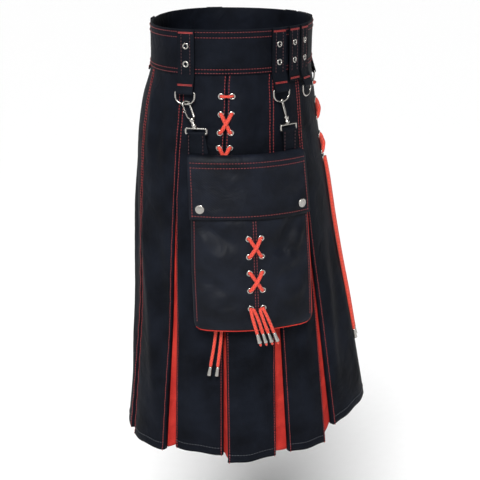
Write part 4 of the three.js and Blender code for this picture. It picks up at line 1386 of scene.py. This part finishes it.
skirt_lines = {"r": [], "l": []}
hem_lines = {"r": [], "l": []}
for (mark, _), points in [*gores.items(), (("r", "apron"), apron_points)]:
    skirt_lines[mark] += [off_face(points[:, FOLD_COLUMNS]), off_face(points[:, -1 - FOLD_COLUMNS])]
    hem_lines[mark].append(hem_line(points))
for mark in "rl":
    stitch("stitches_skirt_" + mark, skirt_lines[mark], thick=0.00055)
    stitch("stitches_hem_" + mark, hem_lines[mark], thick=0.0005, material=hem_thread)
print("skirt rows:", sum(len(v) for v in skirt_lines.values()))

# %% Stitch rows of the band and the straps
TACK_OFF = 0.45
TOP_TACKS, RING_TACKS, END_TACKS = (26.5, 25.2), (-43.6, -42.3), (-40.5, -39.2)
TACK_HALF, COLUMN_ASIDE, END_HEIGHT = 9.5, 6.2, -41


def band_line(z, out):
    return on_form(round_arcs(z, 230, last=True), z, BAND_OUT + band_pull(z) + out)


def strap_line(spot, out, z):
    """A bar tack across a strap."""
    return np.array([spot_point(spot, aside, out, z) for aside in np.linspace(-TACK_HALF, TACK_HALF, 12)])


def strap_column(spot, outer, aside):
    """A lengthwise row on a strap, beside its eyelets."""
    heights = np.linspace(23, -28, 20)
    face = np.interp(heights, [SEAM, -9, 10, 29], [0, 0.25, 0.3, 0]) + outer + 0.3
    return np.array([spot_point(spot, aside, out, z) for z, out in zip(heights, face)])


stitch("stitches_band", [band_line(z, THREAD_OFF + 0.35) for z in BAND_ROWS],
       material=dull_thread)
tacks, strap_rows = [], []
for spot, outer, has_ring, s in strap_spots.values():
    places = [(outer, z) for z in TOP_TACKS]
    if has_ring:
        turn_out = bar_out(s) + STRAP_SKIN * math.cos(STRAP_RISE)
        turn_z = RING["z"] + STRAP_SKIN * math.sin(STRAP_RISE)
        places += [(outer + (turn_out - outer) * (SEAM - z) / (SEAM - turn_z), z) for z in RING_TACKS]
    else:
        places += [(max(0, reach_at(s, END_HEIGHT)) + outer, z) for z in END_TACKS]
    tacks += [strap_line(spot, out + TACK_OFF, z) for out, z in places]
    strap_rows += [strap_column(spot, outer, aside) for aside in (-COLUMN_ASIDE, COLUMN_ASIDE)]
stitch("stitches_straps", tacks, spacing=0.0016, length=0.003)
print("bar tacks:", len(tacks))

# %% Stitch rows of the pocket


def flap_row(z):
    u = np.linspace(-72, 72, 60)
    return on_pocket(u, z, flap_out(z) + flap_relief(u, z) + THREAD_OFF)


def flap_column(u):
    z = np.linspace(-150, -215, 20)
    return on_pocket(u, z, flap_out(z) + THREAD_OFF)


def bag_column(u, end):
    z = np.linspace(-224, end, 40)
    return on_pocket(u, z, bag_front(z) + bag_relief(u, z) + THREAD_OFF)


pocket_lines = [flap_row(z) for z in (POCKET["top"] - 6.5, POCKET["top"] - 13, POCKET["flap_end"] + 5)]
pocket_lines += [flap_column(u) for u in (-72.5, 72.5)]
pocket_lines += [bag_column(u, end) for u, end in ((-1.6, -364), (1.6, -364), (-71, -361), (71, -361))]
for u in STRAP_U.values():
    eye, out, along = eye_spot(u)
    for aside in (-9.8, 9.8):
        row = eye + along * aside + out * 3.4
        strap_rows.append(np.array([row + DOWN * d for d in np.linspace(7, 30, 10)]))
stitch("stitches_pocket", pocket_lines, material=dull_thread, thick=0.00065)
stitch("stitches_strap_rows", strap_rows, material=dark_thread, thick=0.00055)
print("pocket rows:", len(pocket_lines))

# %% [markdown]
# ## Piping
# A red cord covered in bias cloth is caught in the seam between the pocket's front and its gusset. It is a
# thin tube down both sides and round the bottom corners.

# %% Piping


def piping_route():
    """The piping across the pocket and by height, from the rear mouth round to the front one."""
    half, bottom = POCKET["half"], POCKET["bottom"]
    rear = [(half + 0.3, z) for z in np.linspace(-222, bottom + 14, 18)]
    rear += [(half - 0.8, bottom + 8), (half - 3.2, bottom + 3.2), (half - 8, bottom + 0.2)]
    low = [(u, bottom - 0.9) for u in np.linspace(half - 16, 16 - half, 16)]
    return np.array(rear + low + [(-u, z) for u, z in rear[::-1]])


u, z = piping_route().T
line = on_pocket(u, z, bag_front(z) - np.where(u > POCKET["half"] - 2, 8.0, 3.6))
piping_radius = np.where(u < 2 - POCKET["half"], 1.1, 0.75)
stand_in(tube("pocket_piping", line, piping_radius, red_twill, sides=8))
print("piping length:", round(run_along(line)[-1]), "mm")

# %% [markdown]
# ## Lacing
# Three columns of eyelets carry the same red lace: one on the hip seam, one on the apron's middle and one
# on the pocket. A bar crosses at the top of two of them, crosses follow, and the free ends hang from the
# last eyelets. The free ends are drawn as tubes with metal tips, on the routes that the frame's solids
# follow.

# %% Surfaces under the laces
CORD = {"radius": 2.3, "half": 7, "pitch": 24.5}


def on_hip(u, z, out):
    edges = gore_edges(z)
    return on_form((edges[1][1] + edges[2][0]) / 2 + u, z, out)


def on_bag(u, z, out):
    return on_pocket(u, z, bag_front(z) + out)


def strand(name, place, z, low, side, rise):
    """One lace of a cross, from an eyelet down to the one across. The upper one rises over the lower."""
    half = CORD["half"]
    mid = (z + low) / 2
    near = (z - mid) * 0.42
    shoulder = 2.3 + rise * 0.6
    route = [(half + 0.6, z + 0.8, -0.6), (half * 0.82, z - 1.4, 1.9), (half * 0.4, mid + near, shoulder),
             (0, mid, 2.3 + rise), (-half * 0.4, mid - near, shoulder), (-half * 0.82, low + 1.4, 1.9),
             (-half - 0.6, low - 0.8, -0.6)]
    points = [place(side * u, height, out) for u, height, out in route]
    return tube(name, smooth_path(points, 6), CORD["radius"] + 0.45, red_lace, sides=14, squash=0.85)


def crossing(name, place, z):
    low = z - CORD["pitch"]
    under, over = strand(name + "_a", place, z, low, 1, 0.0), strand(name + "_b", place, z, low, -1, 2.6)
    stand_in(join_pieces(name, [under, over]), name)


def lace_bar(name, place, z):
    half = CORD["half"]
    route = [(-half - 0.6, -0.8), (-half * 0.75, 2.0), (0, 2.8), (half * 0.75, 2.0), (half + 0.6, -0.8)]
    path = smooth_path([place(u, z, out) for u, out in route], 6)
    stand_in(tube(name, path, CORD["radius"], red_lace, squash=0.82), name)


for column, place, heights in (("side", on_hip, (-82, -127)), ("front", on_form, (-86, -137)),
                               ("pocket", on_bag, (-246, -293))):
    for i, z in enumerate(heights):
        crossing(f"{column}_lace_cross_{i + 1}", place, z)
lace_bar("side_lace_bar", on_hip, -58)
lace_bar("front_lace_bar", on_form, -61)
print("crossings: 6, bars: 2")

# %% Eyelets
EYELETS_ASIDE = CORD["half"] + 0.4
EYELET_ROWS = [
    (on_hip, (-58, -82, -106.5, -127, -151.5), EYELETS_ASIDE),
    (on_form, (-61, -86, -110.5, -137, -161.5), EYELETS_ASIDE),
    (on_form, (-170.8,), 5.3),
    (on_bag, (-246, -270.5, -293, -317.5, -343), EYELETS_ASIDE),
]


def eyelet_spots():
    spots = []
    for place, heights, half in EYELET_ROWS:
        for z in heights:
            for side in (-1, 1):
                here = place(side * half, z, 0.5)
                spots.append((here, unit(place(side * half, z, 2.5) - here)))
    for spot, outer, _, _ in strap_spots.values():
        spots += [(spot_point(spot, 0, outer + 0.55, z), spot["out"]) for z in (8.5, -15.5)]
    return spots


def make_eyelets(spots):
    mesh = bpy.data.meshes.new("eyelet_places")
    mesh.from_pydata([(p * MM).tolist() for p, _ in spots], [], [])
    facing = mesh.attributes.new("facing", "FLOAT_VECTOR", "POINT")
    for k, (_, out) in enumerate(spots):
        facing.data[k].vector = out
    piece = run_tree(put_in_scene("eyelet_places", mesh), eyelets_tree, {"Material": nickel}, "eyelets")
    stand_in(piece)
    return len(spots)


print("eyelets:", make_eyelets(eyelet_spots()))

# %% Free ends of the laces
SIDE_ENDS = [  # across the column, height, out
    [(-5, -157, 2.8), (0, -190, 2.9), (1, -240, 3.1), (2, -300, 3.2), (3, -350, 3.4), (4, -390, 5),
     (9, -436, 6)],
    [(5, -157, 2.8), (9, -190, 2.9), (9, -240, 3.0), (9, -300, 3.1), (10, -350, 3.4), (12, -390, 5),
     (19, -436, 6)],
]
FRONT_ENDS = [
    [(-5, -170, 2.9), (-6, -200, 3.4), (-8, -260, 3.4), (-10, -320, 3.6), (-8, -380, 4), (-9, -436, 4)],
    [(5, -170, 2.9), (8, -200, 3.4), (11, -260, 3.4), (9, -320, 3.6), (10, -380, 4), (8, -436, 4)],
]
POCKET_ENDS = [
    [(-7, -342.6, 0.6), (-7.6, -346, 2.9), (-11.5, -358, 6), (-17.5, -378, 8)],
    [(-5.4, -343.4, 0.4), (-3.4, -346.5, 2.2), (-5.5, -358, 6.3), (-10.8, -378, 8)],
    [(5.6, -343.4, 0.4), (3.6, -346.5, 2.2), (0.2, -358, 6.3), (-4.4, -378, 8)],
    [(7.4, -342.6, 0.6), (7.6, -346, 2.9), (6, -358, 6), (2, -378, 8)],
]
TIP_STEPS, TIP_RADII = (-1.0, 0.0, 1.0, 4.0, 9.0, 11.8, 12.8), (2.4, 2.5, 2.45, 2.5, 2.9, 3.2, 2.8)
TUFT_STEPS, TUFT_RADII = (-1.0, 0.4, 1.8, 3.2, 4.4), (1.5, 1.7, 2.3, 2.0, 0.9)


def lace_end(name, place, route, frayed):
    """A free end with its metal tip. The pocket's ends poke out of their tips, a little frayed."""
    path = smooth_path([place(u, z, out) for u, z, out in route], 10)
    cord = tube(name + "_cord", path, CORD["radius"], red_lace)
    stand_in(cord, name)
    run = unit(path[-1] - path[-2])
    tip_line = [path[-1] + run * d for d in TIP_STEPS]
    tip = tube(name + "_tip", tip_line, TIP_RADII, nickel, sides=16)
    stand_in(tip)
    hangers = [tip]
    if frayed:
        tuft_line = [tip_line[-1] + run * d for d in TUFT_STEPS]
        hangers.append(tube(name + "_tuft", tuft_line, TUFT_RADII, red_lace, sides=9, squash=0.8))
        stand_in(hangers[-1])
    length = float(run_along(path)[-1]) * MM
    return length


lengths = {}
for column, place, routes in (("side", on_hip, SIDE_ENDS), ("front", on_form, FRONT_ENDS),
                              ("pocket", on_bag, POCKET_ENDS)):
    for i, route in enumerate(routes):
        name = f"{column}_lace_end_{i + 1}"
        lengths[name] = lace_end(name, place, route, frayed=column == "pocket")
print("free ends:", {k: round(v * 1000) for k, v in lengths.items()})
